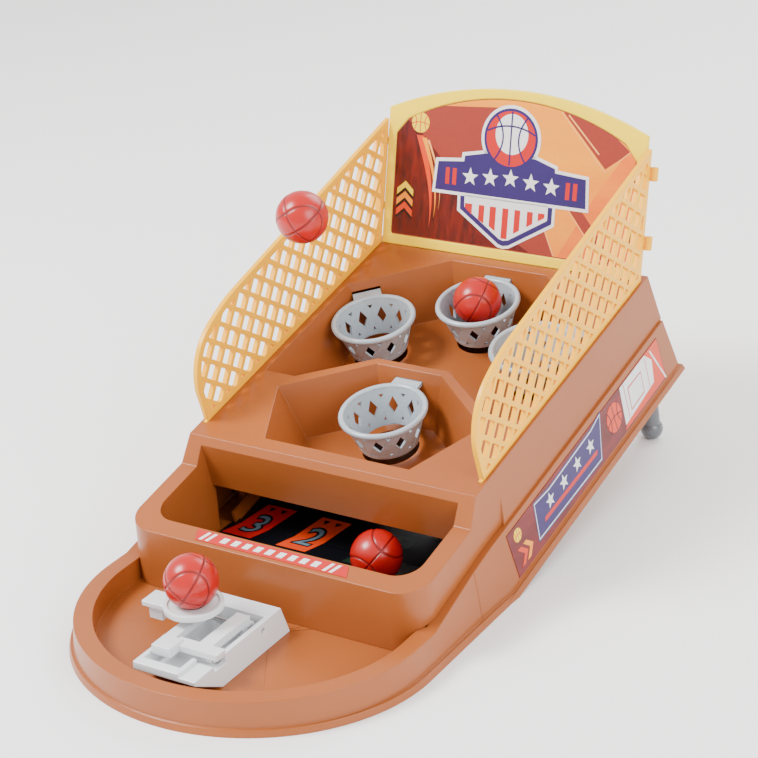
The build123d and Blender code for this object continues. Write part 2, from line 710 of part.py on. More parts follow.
def launcher_cup():
    """Round dish for the ball on a cross plate with a turned-down finger block."""
    dish = Pos(cup_x, cup_y, cup_top - 1.5) * Cylinder(cup_radius, 3.0)
    dish -= Pos(cup_x, cup_y, cup_top) * Cylinder(cup_radius - 2.2, 1.6)
    dish -= Pos(cup_x, cup_y, ball_rest_z()) * Sphere(ball_radius + seat_gap)
    plate = box(cup_x - 25.5, cup_x + 9.0, cup_y - 5.5, cup_y + 5.5, cup_top - 5.4, cup_top - 3.0)
    finger = box(cup_x - 23.0, cup_x - 15.5, cup_y - 4.0, cup_y + 4.0, cup_top - 12.0, cup_top - 5.2)
    cup = dish + plate + finger
    cup -= Pos(cup_x, cup_y, cup_top - 5.4) * Cylinder(4.0 + 0.05, 2.0 + 2.0)
    return cup


def ball_rest_z():
    return cup_top - 2.4 + seat_gap + ball_radius


def spring(radius, wire, height, turns, x, y, z):
    path = Helix(height / turns, height - wire, radius)
    coil = sweep(Plane(path @ 0, z_dir=path % 0) * Circle(wire / 2), path)
    return Pos(x, y, z + wire / 2) * coil


def leg(side):
    """Folding rear leg: eye, tapering shank and a round foot."""
    pin = ground_yz(leg_pin_y, -base_bottom_depth - leg_pin_drop)
    x = side * leg_x
    foot = Vector(x, pin[0] + foot_back, foot_radius - 0.4)
    eye = Pos(x, pin[0], pin[1]) * Rot(0, 90, 0) * Cylinder(leg_eye_radius, leg_eye_width)
    line = foot - Vector(x, pin[0], pin[1])
    shank_plane = Plane(origin=(x, pin[0], pin[1]), z_dir=line)
    shank = Location(shank_plane.location) * Pos(0, 0, line.length / 2) * Cone(3.6, 4.8, line.length)
    body = eye + shank + Pos(foot) * Sphere(foot_radius)
    body &= box(x - 20, x + 20, pin[0] - 40, pin[0] + 40, 0, 60)
    bore = Pos(x, pin[0], pin[1]) * Rot(0, 90, 0) * Cylinder(leg_pin_radius + running_gap, 30)
    return body - bore


leg_eye_width = 8.0
leg_lug_reach = 5.7


def wall_film(side, y0, y1, depth0, depth1):
    """Thin film that lies on the sloping lower side wall."""
    t = sticker_thickness
    def at(depth, out):
        return base_half_width() + base_flare * depth + out
    section = make_face(Polyline([(at(depth0, 0), -depth0), (at(depth0, t), -depth0),
                                  (at(depth1, t), -depth1), (at(depth1, 0), -depth1)], close=True))
    film = Pos(0, y1, 0) * extrude(Plane.XZ * section, y1 - y0)
    return film if side > 0 else mirror(film, Plane.YZ)


def rim_strip():
    """Slant-ended film on the trough's front rim."""
    outline = make_face(Polyline([(-40.0, -57.2), (43.5, -57.2), (40.5, -50.4), (-43.0, -50.4)],
                                 close=True))
    return Pos(0, 0, -rim_depth) * extrude(outline, sticker_thickness)


# ---- make every piece ----
add("base_tray", base_tray(), ground_place)
add("upper_housing", upper_housing(), ground_place)
add("bottom_cover", bottom_cover(), ground_place)
add("return_ramp", return_ramp(), court_place)
flat, climb = score_sticker()
add("score_sticker", flat, ground_place)
add("ramp_sticker", climb, ground_place)
add("rim_strip_sticker", rim_strip(), court_place)
add("backboard", backboard(), court_place)
add("backboard_sticker", backboard_sticker(), court_place)
shell = basket_shell()
for name, centre, angle in hoop_places():
    add(f"basket_{name}", basket(shell, name, centre, angle), court_place)
for label, side in (("left", -1), ("right", 1)):
    add(f"side_net_{label}", net(side), court_place)
    add(f"side_sticker_{label}", wall_film(side, 11.0, 177.0, ledge_depth + 3.5,
                                           skirt_depth - 2.4), court_place)
    add(f"leg_{label}", leg(side), ground_place)
    pin_drop = -base_bottom_depth - leg_pin_drop
    add(f"leg_pin_{label}", Pos(side * leg_x, leg_pin_y, pin_drop) * Rot(0, 90, 0)
        * Cylinder(leg_pin_radius, 2 * leg_lug_reach + 3), court_place)
add("launcher_housing", launcher_housing(), ground_place)
add("launcher_lever", launcher_lever(), ground_place)
add("launcher_cup", launcher_cup(), ground_place)
add("launcher_pin", Pos(launcher_x, pin_y, pin_z) * Rot(0, 90, 0)
    * Cylinder(launcher_pin_radius, launcher_width - 5), ground_place)
add("launcher_spring", spring(2.2, 0.6, 16.4 - launcher_deck_floor - 0.1, 6, rail_x, -101,
                              launcher_deck_floor), ground_place)
add("launcher_ball", Pos(cup_x, cup_y, ball_rest_z()) * ball(), ground_place)
add("well_ball", Pos(27, -4, floor_height + sticker_thickness + 0.2 + ball_radius) * ball(),
    ground_place)
add("basket_ball", Pos(centre_hoop[0], centre_hoop[1], -4.7) * ball(), court_place)
add("flying_ball", Pos(-30, 60.6, 94.3) * ball(), court_place)
rear_screws = [Pos(x, y, -base_bottom_depth + 0.2) * screw_down(9) for x, y in cover_screw_places()]
add("rear_cover_screws", Part() + rear_screws, court_place)
nose_screws = [Pos(x, y, 0.2) * screw_down(9) for x, y in nose_screw_places()]
add("nose_cover_screws", Part() + nose_screws, ground_place)
tray_screws = [Pos(x, y, floor_height - deck - screw_head_height) * screw_down(8)
               for x, y in launcher_screw_places()]
add("launcher_screws", Part() + tray_screws, ground_place)

os.makedirs("parts", exist_ok=True)
for name, shape in parts.items():
    shape.label = name
    export_step(shape, f"parts/{name}.step")
    print(name, round(shape.volume), [round(v, 1) for v in shape.bounding_box().size])
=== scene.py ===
# %% [markdown]
# # A tabletop basketball hoop machine
# The mechanical model is fixed: every moulding, pin and joint comes from the frame. This
# lesson gives those mouldings their finish. It rounds their edges, prints their films,
# weaves the baskets' walls and cuts the seams into the balls. Everything is in metres.

# %% Load the frame
import json
import math

import bmesh
import bpy
from mathutils import Matrix, Vector


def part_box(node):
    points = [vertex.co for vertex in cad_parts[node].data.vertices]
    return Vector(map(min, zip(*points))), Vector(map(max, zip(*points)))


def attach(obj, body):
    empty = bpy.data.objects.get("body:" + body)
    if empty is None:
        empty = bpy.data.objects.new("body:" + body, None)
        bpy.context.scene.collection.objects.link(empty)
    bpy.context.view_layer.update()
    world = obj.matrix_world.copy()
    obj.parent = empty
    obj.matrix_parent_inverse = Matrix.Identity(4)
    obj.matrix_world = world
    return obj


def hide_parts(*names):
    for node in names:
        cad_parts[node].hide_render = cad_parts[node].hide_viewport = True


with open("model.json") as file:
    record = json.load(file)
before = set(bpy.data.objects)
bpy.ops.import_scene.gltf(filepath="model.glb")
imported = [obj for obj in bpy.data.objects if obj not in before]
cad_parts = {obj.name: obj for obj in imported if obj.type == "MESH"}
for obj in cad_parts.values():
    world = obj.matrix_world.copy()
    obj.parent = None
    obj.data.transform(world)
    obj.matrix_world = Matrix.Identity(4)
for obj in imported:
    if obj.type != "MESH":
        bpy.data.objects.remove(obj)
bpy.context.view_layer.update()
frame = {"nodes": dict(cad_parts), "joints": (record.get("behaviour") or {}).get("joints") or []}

MM = 0.001
scene = bpy.context.scene
joints = {joint["name"]: joint for joint in frame["joints"]}

# %% [markdown]
# The court slopes up towards the backboard, and the board leans back from it. Art and
# baskets are easier to draw level, so each slope gets its own place matrix. The slope of
# the court is read from the joint along which a ball falls through the centre basket.

# %% Places of the sloping faces
fall = joints["basket_ball_drop"]["axis"]
COURT_TILT = math.asin(fall[1])
CENTRE_HOOP_Y = 148.6 * MM
BALL_DROP = 4.7 * MM
BOARD_Y = 180 * MM
BOARD_LEAN = math.radians(25.8)
tilt = Matrix.Rotation(COURT_TILT, 4, "X")
ball_low, ball_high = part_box("basket_ball")
court_zero = (ball_low + ball_high) / 2 - tilt @ Vector((0, CENTRE_HOOP_Y, -BALL_DROP))
court = Matrix.Translation(court_zero) @ tilt
board = court @ Matrix.Translation((0, BOARD_Y, 0)) @ Matrix.Rotation(-BOARD_LEAN, 4, "X")
print("court front edge at", [round(v / MM, 1) for v in court_zero], "mm, slope",
      round(math.degrees(COURT_TILT), 2), "degrees")

# %% [markdown]
# ## Camera, light and floor
# The camera comes first, so that every later choice is judged from where the object is
# seen. A long lens keeps the sides nearly parallel. One large soft light from the upper
# left makes the long highlights of moulded plastic, and weaker ones open the shadows.

# %% Camera
CAMERA_PLACE = Vector((506.53, -743.46, 488.28)) * MM
CAMERA_RIGHT = Vector((0.847208, 0.527385, -0.064067))
CAMERA_DOWN = Vector((0.165031, -0.375883, -0.911853))
CAMERA_AHEAD = Vector((-0.504979, 0.761956, -0.405486))
camera_data = bpy.data.cameras.new("camera")
camera_data.lens = 98.88
camera_data.sensor_width = 36
camera_data.clip_start = 0.05
camera_data.clip_end = 20
camera = bpy.data.objects.new("camera", camera_data)
scene.collection.objects.link(camera)
facing = Matrix((CAMERA_RIGHT, -CAMERA_DOWN, -CAMERA_AHEAD)).transposed()
camera.matrix_world = Matrix.Translation(CAMERA_PLACE) @ facing.to_4x4()
scene.camera = camera


# %% Lights
def soft_light(name, place, size, power, aim=(0, 0, 0.05)):
    """A square area light that looks at the object."""
    data = bpy.data.lights.new(name, "AREA")
    data.shape = "SQUARE"
    data.size = size
    data.energy = power
    light = bpy.data.objects.new(name, data)
    light.location = place
    light.rotation_mode = "QUATERNION"
    light.rotation_quaternion = (Vector(aim) - Vector(place)).to_track_quat("-Z", "Y")
    scene.collection.objects.link(light)


soft_light("key_light", (-0.75, -0.55, 1.15), 0.50, 34)
soft_light("side_light", (1.15, -0.35, 0.70), 0.80, 15)
soft_light("back_light", (0.10, 1.20, 0.95), 0.90, 14)
world = bpy.data.worlds.new("studio")
scene.world = world
world.use_nodes = True
sky = world.node_tree.nodes["Background"]
sky.inputs["Color"].default_value = (1.0, 0.99, 0.975, 1)
sky.inputs["Strength"].default_value = 1.25

# %% Floor
FLOOR_HALF = 3.0
floor_mesh = bpy.data.meshes.new("floor")
corners = [(-FLOOR_HALF, -FLOOR_HALF, 0), (FLOOR_HALF, -FLOOR_HALF, 0),
           (FLOOR_HALF, FLOOR_HALF, 0), (-FLOOR_HALF, FLOOR_HALF, 0)]
floor_mesh.from_pydata(corners, [], [(0, 1, 2, 3)])
floor = bpy.data.objects.new("floor", floor_mesh)
scene.collection.objects.link(floor)
floor_skin = bpy.data.materials.new("pale_floor")
floor_skin.use_nodes = True
floor_skin.node_tree.nodes["Principled BSDF"].inputs["Base Color"].default_value = (0.96, 0.96, 0.96, 1)
floor_skin.node_tree.nodes["Principled BSDF"].inputs["Roughness"].default_value = 0.7
floor_mesh.materials.append(floor_skin)
print("lights and floor are in place")


# %% [markdown]
# ## Finishes
# All mouldings share one surface effect: the faint grain of the steel mould, slow
# blotches where the plastic cooled unevenly, and rougher patches where it is worn.
# A node group holds it once. It gives out a shade, a roughness and a height, and each
# material keeps its own shader and its own numbers.

# %% Helpers for node trees
def node(tree, kind, place=(0, 0), **settings):
    """A new node with its settings."""
    made = tree.nodes.new(kind)
    made.location = place
    for key, value in settings.items():
        setattr(made, key, value)
    return made


def math_node(tree, operation, a, b=None, c=None, clamp=False):
    """A maths node, with numbers or sockets as its inputs."""
    made = node(tree, "ShaderNodeMath", operation=operation, use_clamp=clamp)
    for socket, value in zip(made.inputs, (a, b, c)):
        if value is None:
            continue
        if isinstance(value, (int, float)):
            socket.default_value = value
        else:
            tree.links.new(value, socket)
    return made.outputs[0]


def colour_mix(tree, factor, a, b, blend="MIX"):
    """Two colours mixed by a number or a socket."""
    made = node(tree, "ShaderNodeMix", data_type="RGBA", blend_type=blend)
    for socket, value in ((made.inputs["Factor"], factor), (made.inputs[6], a), (made.inputs[7], b)):
        if isinstance(value, bpy.types.NodeSocket):
            tree.links.new(value, socket)
        elif isinstance(value, (int, float)):
            socket.default_value = value
        else:
            socket.default_value = (*value[:3], 1)
    return made.outputs[2]


def new_group(name, inputs, outputs):
    """A shader node group with named sockets: (name, type, default) and (name, type)."""
    group = bpy.data.node_groups.new(name, "ShaderNodeTree")
    for title, kind, default in inputs:
        socket = group.interface.new_socket(title, in_out="INPUT", socket_type="NodeSocket" + kind)
        if default is not None:
            socket.default_value = default
    for title, kind in outputs:
        group.interface.new_socket(title, in_out="OUTPUT", socket_type="NodeSocket" + kind)
    return group, group.nodes.new("NodeGroupInput"), group.nodes.new("NodeGroupOutput")


# %% The moulded skin
skin, skin_in, skin_out = new_group(
    "moulded_skin",
    [("Vector", "Vector", None), ("Grain Scale", "Float", 900.0), ("Blotch Scale", "Float", 22.0),
     ("Blotch", "Float", 0.10), ("Roughness", "Float", 0.30), ("Scuff", "Float", 0.05)],
    [("Shade", "Float"), ("Roughness", "Float"), ("Height", "Float")])
grain = node(skin, "ShaderNodeTexNoise")
grain.inputs["Detail"].default_value = 3
skin.links.new(skin_in.outputs["Vector"], grain.inputs["Vector"])
skin.links.new(skin_in.outputs["Grain Scale"], grain.inputs["Scale"])
blotch = node(skin, "ShaderNodeTexNoise")
blotch.inputs["Detail"].default_value = 4
skin.links.new(skin_in.outputs["Vector"], blotch.inputs["Vector"])
skin.links.new(skin_in.outputs["Blotch Scale"], blotch.inputs["Scale"])
scuffs = node(skin, "ShaderNodeTexNoise")
scuffs.inputs["Scale"].default_value = 140
scuffs.inputs["Detail"].default_value = 6
scuffs.inputs["Distortion"].default_value = 1.5
skin.links.new(skin_in.outputs["Vector"], scuffs.inputs["Vector"])
away = math_node(skin, "SUBTRACT", blotch.outputs["Fac"], 0.5)
shade = math_node(skin, "MULTIPLY_ADD", away, skin_in.outputs["Blotch"], 0.5)
skin.links.new(math_node(skin, "MULTIPLY", shade, 1.0, clamp=True), skin_out.inputs["Shade"])
scuffed = math_node(skin, "MULTIPLY", math_node(skin, "SUBTRACT", scuffs.outputs["Fac"], 0.5),
                    skin_in.outputs["Scuff"])
rougher = math_node(skin, "ADD", math_node(skin, "MULTIPLY", scuffed, 2.0), skin_in.outputs["Roughness"])
skin.links.new(math_node(skin, "MAXIMUM", rougher, 0.03), skin_out.inputs["Roughness"])
skin.links.new(grain.outputs["Fac"], skin_out.inputs["Height"])
print("node group", skin.name, "with", len(skin.nodes), "nodes")


# %% [markdown]
# A plastic finish is the moulded skin with a colour. Two tones that lie close together
# are mixed by the skin's shade, which keeps a wide face from looking like flat paint.
# Only the grain feeds the bump, and it is very shallow, because the moulds are polished.

# %% Plastic finishes
def plastic(name, tone, dark_share=0.80, rough=0.30, blotch=0.9, grain_scale=900.0,
            bump=0.05, coat=0.25, shine=0.5):
    """Moulded plastic: tone is the linear colour of its lighter parts."""
    material = bpy.data.materials.new(name)
    material.use_nodes = True
    tree = material.node_tree
    shader = tree.nodes["Principled BSDF"]
    where = node(tree, "ShaderNodeTexCoord")
    effect = node(tree, "ShaderNodeGroup", node_tree=skin)
    tree.links.new(where.outputs["Object"], effect.inputs["Vector"])
    effect.inputs["Grain Scale"].default_value = grain_scale
    effect.inputs["Blotch"].default_value = blotch
    effect.inputs["Roughness"].default_value = rough
    darker = [channel * dark_share for channel in tone]
    tree.links.new(colour_mix(tree, effect.outputs["Shade"], darker, tone), shader.inputs["Base Color"])
    tree.links.new(effect.outputs["Roughness"], shader.inputs["Roughness"])
    relief = node(tree, "ShaderNodeBump")
    relief.inputs["Strength"].default_value = bump
    relief.inputs["Distance"].default_value = 0.0002
    tree.links.new(effect.outputs["Height"], relief.inputs["Height"])
    tree.links.new(relief.outputs["Normal"], shader.inputs["Normal"])
    shader.inputs["Coat Weight"].default_value = coat
    shader.inputs["Coat Roughness"].default_value = 0.12
    shader.inputs["IOR"].default_value = 1.5
    shader.inputs["Specular IOR Level"].default_value = shine
    return material


orange = plastic("burnt_orange_plastic", (0.345, 0.092, 0.019),
                 dark_share=0.84, rough=0.32, coat=0.06, shine=0.35)
yellow = plastic("sun_yellow_plastic", (0.98, 0.47, 0.0005),
                 dark_share=0.92, rough=0.30, coat=0.04, shine=0.25)
lemon = plastic("lemon_border_plastic", (0.98, 0.70, 0.004),
                dark_share=0.94, rough=0.30, coat=0.04, shine=0.25)
white = plastic("launcher_white_plastic", (0.72, 0.74, 0.76), dark_share=0.93, rough=0.22, coat=0.30)
pale_blue = plastic("basket_plastic", (0.40, 0.47, 0.53), dark_share=0.86, rough=0.28, coat=0.25)
silver = plastic("silver_grey_plastic", (0.12, 0.13, 0.145), dark_share=0.85, rough=0.28, coat=0.30)
print("plastics:", ", ".join(m.name for m in (orange, yellow, lemon, white, pale_blue, silver)))

# %% [markdown]
# Screws, pins and the spring are bright zinc-plated steel: a metal whose roughness
# wanders a little, with fine marks left by drawing the wire.


# %% Steel
def zinc_steel():
    """Plated steel with faint drawing marks."""
    material = bpy.data.materials.new("zinc_steel")
    material.use_nodes = True
    tree = material.node_tree
    shader = tree.nodes["Principled BSDF"]
    shader.inputs["Metallic"].default_value = 1.0
    where = node(tree, "ShaderNodeTexCoord")
    stretch = node(tree, "ShaderNodeMapping")
    stretch.inputs["Scale"].default_value = (300, 4000, 4000)
    tree.links.new(where.outputs["Object"], stretch.inputs["Vector"])
    marks = node(tree, "ShaderNodeTexNoise")
    marks.inputs["Scale"].default_value = 1.0
    tree.links.new(stretch.outputs["Vector"], marks.inputs["Vector"])
    tone = colour_mix(tree, marks.outputs["Fac"], (0.42, 0.43, 0.45), (0.66, 0.67, 0.68))
    tree.links.new(tone, shader.inputs["Base Color"])
    rough = math_node(tree, "MULTIPLY_ADD", marks.outputs["Fac"], 0.18, 0.20)
    tree.links.new(rough, shader.inputs["Roughness"])
    return material


steel = zinc_steel()
print("steel is ready")


# %% [markdown]
# The films are printed vinyl. A printed ink is not one flat colour: it has a faint
# halftone mottle, and the clear laminate over it has a wavy gloss. Each ink is one
# material from the same function, so the whole set of films looks printed together.

# %% Inks
def ink(name, tone, second=None, second_share=0.0, direction=(0, 0, 1), scale=8.0, rough=0.32):
    """Printed vinyl. A second tone can run across it as soft bands along a direction."""
    material = bpy.data.materials.new("ink_" + name)
    material.use_nodes = True
    tree = material.node_tree
    shader = tree.nodes["Principled BSDF"]
    where = node(tree, "ShaderNodeTexCoord")
    mottle = node(tree, "ShaderNodeTexNoise")
    mottle.inputs["Scale"].default_value = 420
    mottle.inputs["Detail"].default_value = 2
    tree.links.new(where.outputs["Object"], mottle.inputs["Vector"])
    faded = [min(1.0, channel * 0.86) for channel in tone]
    colour = colour_mix(tree, mottle.outputs["Fac"], faded, tone)
    if second:
        along = node(tree, "ShaderNodeVectorMath", operation="MULTIPLY")
        along.inputs[1].default_value = direction
        tree.links.new(where.outputs["Object"], along.inputs[0])
        bands = node(tree, "ShaderNodeTexNoise")
        bands.inputs["Scale"].default_value = scale
        bands.inputs["Detail"].default_value = 2
        tree.links.new(along.outputs[0], bands.inputs["Vector"])
        edge = math_node(tree, "MULTIPLY_ADD", bands.outputs["Fac"], 3.0, second_share - 1.5, clamp=True)
        colour = colour_mix(tree, edge, colour, second)
    tree.links.new(colour, shader.inputs["Base Color"])
    wave = node(tree, "ShaderNodeTexNoise")
    wave.inputs["Scale"].default_value = 60
    tree.links.new(where.outputs["Object"], wave.inputs["Vector"])
    tree.links.new(math_node(tree, "MULTIPLY_ADD", wave.outputs["Fac"], 0.12, rough - 0.06),
                   shader.inputs["Roughness"])
    shader.inputs["Specular IOR Level"].default_value = 0.35
    shader.inputs["Coat Weight"].default_value = 0.08
    return material


ink_brick = ink("brick", (0.30, 0.034, 0.020))
ink_dark = ink("dark_brick", (0.155, 0.008, 0.006), (0.055, 0.004, 0.005), 0.45, (330, 0, 75), 1.0)
ink_maroon = ink("maroon", (0.19, 0.010, 0.012), (0.10, 0.004, 0.006), 0.40, (0, 40, 150), 1.0)
ink_amber = ink("amber", (0.95, 0.36, 0.006), (0.86, 0.17, 0.006), 0.30, (0.4, 0, 34), 1.0)
ink_orange = ink("orange", (0.86, 0.16, 0.008), (0.90, 0.24, 0.010), 0.35, (0.4, 0, 60), 1.0)
ink_peach = ink("peach", (0.95, 0.40, 0.11))
ink_navy = ink("navy", (0.030, 0.014, 0.115))
ink_white = ink("white", (0.80, 0.80, 0.80))
ink_red = ink("red", (0.56, 0.014, 0.012))
ink_ball = ink("ball_orange", (0.72, 0.050, 0.006))
ink_lemon = ink("lemon", (0.92, 0.66, 0.004))
ink_black = ink("black", (0.0035, 0.004, 0.006))
ink_steel_blue = ink("steel_blue", (0.13, 0.20, 0.25))
ink_sky = ink("sky_blue", (0.020, 0.075, 0.26))
ink_green = ink("dark_green", (0.010, 0.028, 0.016))
print("inks are mixed")


# %% [markdown]
# ## Housings
# A moulding has no knife edges: its tool is cut with a small radius, and those edges
# catch the light all round the real toy. The frame's faces are loose triangles, so a
# copy is merged, its flat faces are joined, and a bevel rounds every edge that is
# sharper than a limit. The copy then stands for the node.

# %% Rounded copies of the mouldings
WELD_DISTANCE = 2e-6
FLAT_ANGLE = math.radians(0.6)
EDGE_ANGLE = math.radians(28)
BEVEL_SEGMENTS = 2


def link_piece(name, mesh):
    """A new object at the origin for a finished mesh."""
    piece = bpy.data.objects.new(name, mesh)
    scene.collection.objects.link(piece)
    return piece


def plain_mesh(piece, name):
    """Gives the object its evaluated mesh as a plain one, with its modifiers gone."""
    evaluated = piece.evaluated_get(bpy.context.evaluated_depsgraph_get())
    mesh = bpy.data.meshes.new_from_object(evaluated)
    mesh.name = name
    piece.modifiers.clear()
    piece.data = mesh


def rounded(cad_node, body, material, width, split=True):
    """A copy of a node with soft edges, riding on its body in the node's place.

    Large faces are split into triangles before the bevel unless the moulding is so
    simple that its joined faces bevel cleanly.
    """
    work = bmesh.new()
    work.from_mesh(frame["nodes"][cad_node].data)
    bmesh.ops.remove_doubles(work, verts=work.verts, dist=WELD_DISTANCE)
    bmesh.ops.dissolve_limit(work, angle_limit=FLAT_ANGLE, use_dissolve_boundaries=False,
                             verts=work.verts, edges=work.edges)
    if split:
        bmesh.ops.triangulate(work, faces=work.faces, ngon_method="BEAUTY")
    for face in work.faces:
        face.smooth = True
    mesh = bpy.data.meshes.new(cad_node + "_round")
    work.to_mesh(mesh)
    work.free()
    piece = link_piece(cad_node + "_round", mesh)
    soften = piece.modifiers.new("soft_edges", "BEVEL")
    soften.width = width
    soften.segments = BEVEL_SEGMENTS
    soften.limit_method = "ANGLE"
    soften.angle_limit = EDGE_ANGLE
    soften.use_clamp_overlap = False
    even = piece.modifiers.new("even_normals", "WEIGHTED_NORMAL")
    even.weight = 50
    even.keep_sharp = True
    plain_mesh(piece, cad_node + "_round")
    piece.data.materials.clear()
    piece.data.materials.append(material)
    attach(piece, body)
    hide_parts(cad_node)
    print(cad_node, "rounded,", len(piece.data.polygons), "faces")


rounded("upper_housing", "machine", orange, 0.35 * MM)
rounded("base_tray", "machine", orange, 0.35 * MM)
rounded("backboard", "machine", lemon, 0.6 * MM)
for name in ("side_net_left", "side_net_right"):
    rounded(name, "machine", yellow, 0.35 * MM)

# %% [markdown]
# The launcher is white and glossy, and the legs are silver-grey. Their edges are finer.

# %% Launcher and legs
rounded("launcher_housing", "machine", white, 0.5 * MM, split=False)
rounded("launcher_lever", "lever", white, 0.35 * MM)
rounded("launcher_cup", "lever", white, 0.4 * MM)
for side in ("left", "right"):
    rounded("leg_" + side, "leg_" + side, silver, 0.4 * MM)

# %% [markdown]
# Pieces whose shape is already right keep their own mesh and only get a finish.

# %% Finishes for the nodes that stay
stays = {
    "bottom_cover": orange, "return_ramp": orange,
    "backboard_sticker": ink_brick, "side_sticker_left": ink_maroon, "side_sticker_right": ink_maroon,
    "rim_strip_sticker": ink_red, "score_sticker": ink_black, "ramp_sticker": ink_black,
    "leg_pin_left": steel, "leg_pin_right": steel, "launcher_pin": steel, "launcher_spring": steel,
    "rear_cover_screws": steel, "nose_cover_screws": steel, "launcher_screws": steel,
}
for name, finish in stays.items():
    kept = frame["nodes"][name].data
    kept.materials.clear()
    kept.materials.append(finish)
print(len(stays), "nodes keep their mesh")


# %% [markdown]
# ## Balls
# Each ball is a hollow blown shell with moulded seams: two great circles at right
# angles, and a wavy pair of side seams that mirror each other. The seams are real
# grooves. Every point of a fine sphere is moved in by a depth that falls off with its
# distance from the nearest seam, and the same value is kept as an attribute, so that
# painted shade can darken the colour in the groove. Fine pebbles are too small for
# geometry and come from the material's bump.

# %% Ball finish
def ball_finish():
    """Red pebbled ball skin, with painted shade darkening its seams."""
    material = bpy.data.materials.new("ball_red_skin")
    material.use_nodes = True
    tree = material.node_tree
    shader = tree.nodes["Principled BSDF"]
    where = node(tree, "ShaderNodeTexCoord")
    seam = node(tree, "ShaderNodeAttribute", attribute_name="seam")
    patch = node(tree, "ShaderNodeTexNoise")
    patch.inputs["Scale"].default_value = 90
    tree.links.new(where.outputs["Object"], patch.inputs["Vector"])
    base = colour_mix(tree, patch.outputs["Fac"], (0.34, 0.003, 0.002), (0.52, 0.007, 0.005))
    groove = math_node(tree, "MULTIPLY", seam.outputs["Fac"], 0.85, clamp=True)
    # Painted shade: the colour is darkened to near black in the seam grooves.
    tree.links.new(colour_mix(tree, groove, base, (0.085, 0.002, 0.003)), shader.inputs["Base Color"])
    pebbles = node(tree, "ShaderNodeTexVoronoi")
    pebbles.inputs["Scale"].default_value = 1500
    tree.links.new(where.outputs["Object"], pebbles.inputs["Vector"])
    relief = node(tree, "ShaderNodeBump")
    relief.inputs["Strength"].default_value = 0.12
    relief.inputs["Distance"].default_value = 0.00015
    smooth_seam = math_node(tree, "SUBTRACT", 1.0, groove)
    tree.links.new(math_node(tree, "MULTIPLY", pebbles.outputs["Distance"], smooth_seam),
                   relief.inputs["Height"])
    tree.links.new(relief.outputs["Normal"], shader.inputs["Normal"])
    tree.links.new(math_node(tree, "MULTIPLY_ADD", groove, 0.2, 0.30), shader.inputs["Roughness"])
    shader.inputs["Specular IOR Level"].default_value = 0.4
    shader.inputs["Coat Weight"].default_value = 0.15
    shader.inputs["Coat Roughness"].default_value = 0.2
    return material


red_skin = ball_finish()


# %% Seamed balls
SEAM_DEPTH = 0.38 * MM
SEAM_WIDTH = 0.42 * MM
BALL_ROUND = 220
BALL_RINGS = 110
SIDE_SEAM_MIDDLE = 0.52
SIDE_SEAM_SWING = 0.17
SIDE_SEAM_SLOPE = 0.92


def seam_distance(x, y, z, radius):
    """Distance on the ball from the nearest seam to a point of the unit sphere."""
    wave = SIDE_SEAM_MIDDLE + SIDE_SEAM_SWING * math.cos(2 * math.atan2(z, x))
    side = abs(abs(y) - wave) * SIDE_SEAM_SLOPE
    return radius * min(abs(x), abs(z), side)


def seamed_ball(name, body, turn):
    """A ball in the place of a node, turned by Euler degrees so that its seams differ."""
    low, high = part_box(name)
    centre = (low + high) / 2
    radius = (high.z - low.z) / 2
    work = bmesh.new()
    bmesh.ops.create_uvsphere(work, u_segments=BALL_ROUND, v_segments=BALL_RINGS, radius=1.0)
    spin = Matrix.Rotation(math.radians(turn[2]), 3, "Z") @ Matrix.Rotation(
        math.radians(turn[1]), 3, "Y") @ Matrix.Rotation(math.radians(turn[0]), 3, "X")
    depth = []
    for v in work.verts:
        near = seam_distance(v.co.x, v.co.y, v.co.z, radius)
        groove = math.exp(-(near / SEAM_WIDTH) ** 2)
        depth.append(groove)
        v.co = centre + spin @ v.co * (radius - SEAM_DEPTH * groove)
    mesh = bpy.data.meshes.new(name + "_seamed")
    work.to_mesh(mesh)
    work.free()
    # The seam attribute holds the groove depth, and the material also uses it for painted shade in the
    # grooves.
    mesh.attributes.new("seam", "FLOAT", "POINT").data.foreach_set("value", depth)
    mesh.polygons.foreach_set("use_smooth", [True] * len(mesh.polygons))
    mesh.materials.append(red_skin)
    piece = link_piece(name + "_seamed", mesh)
    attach(piece, body)
    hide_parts(name)


ball_turns = {"launcher_ball": (20, 35, 30), "well_ball": (60, 40, 10),
              "basket_ball": (35, 30, 25), "flying_ball": (25, 55, 40)}
for name, turn in ball_turns.items():
    seamed_ball(name, name, turn)
print(len(ball_turns), "balls, seams", SEAM_DEPTH / MM, "mm deep")


# %% [markdown]
# ## Baskets
# A basket's wall is a lattice of flat straps that lean left and right and melt into each
# other where they cross, between a round rim and a flat foot ring. Rim and foot are
# lathe shapes. One pair of crossing straps is drawn on the cone, and a Geometry Nodes
# tree turns copies of it round the basket's axis: the count is one number, and every
# strap is the same, as in the real mould.

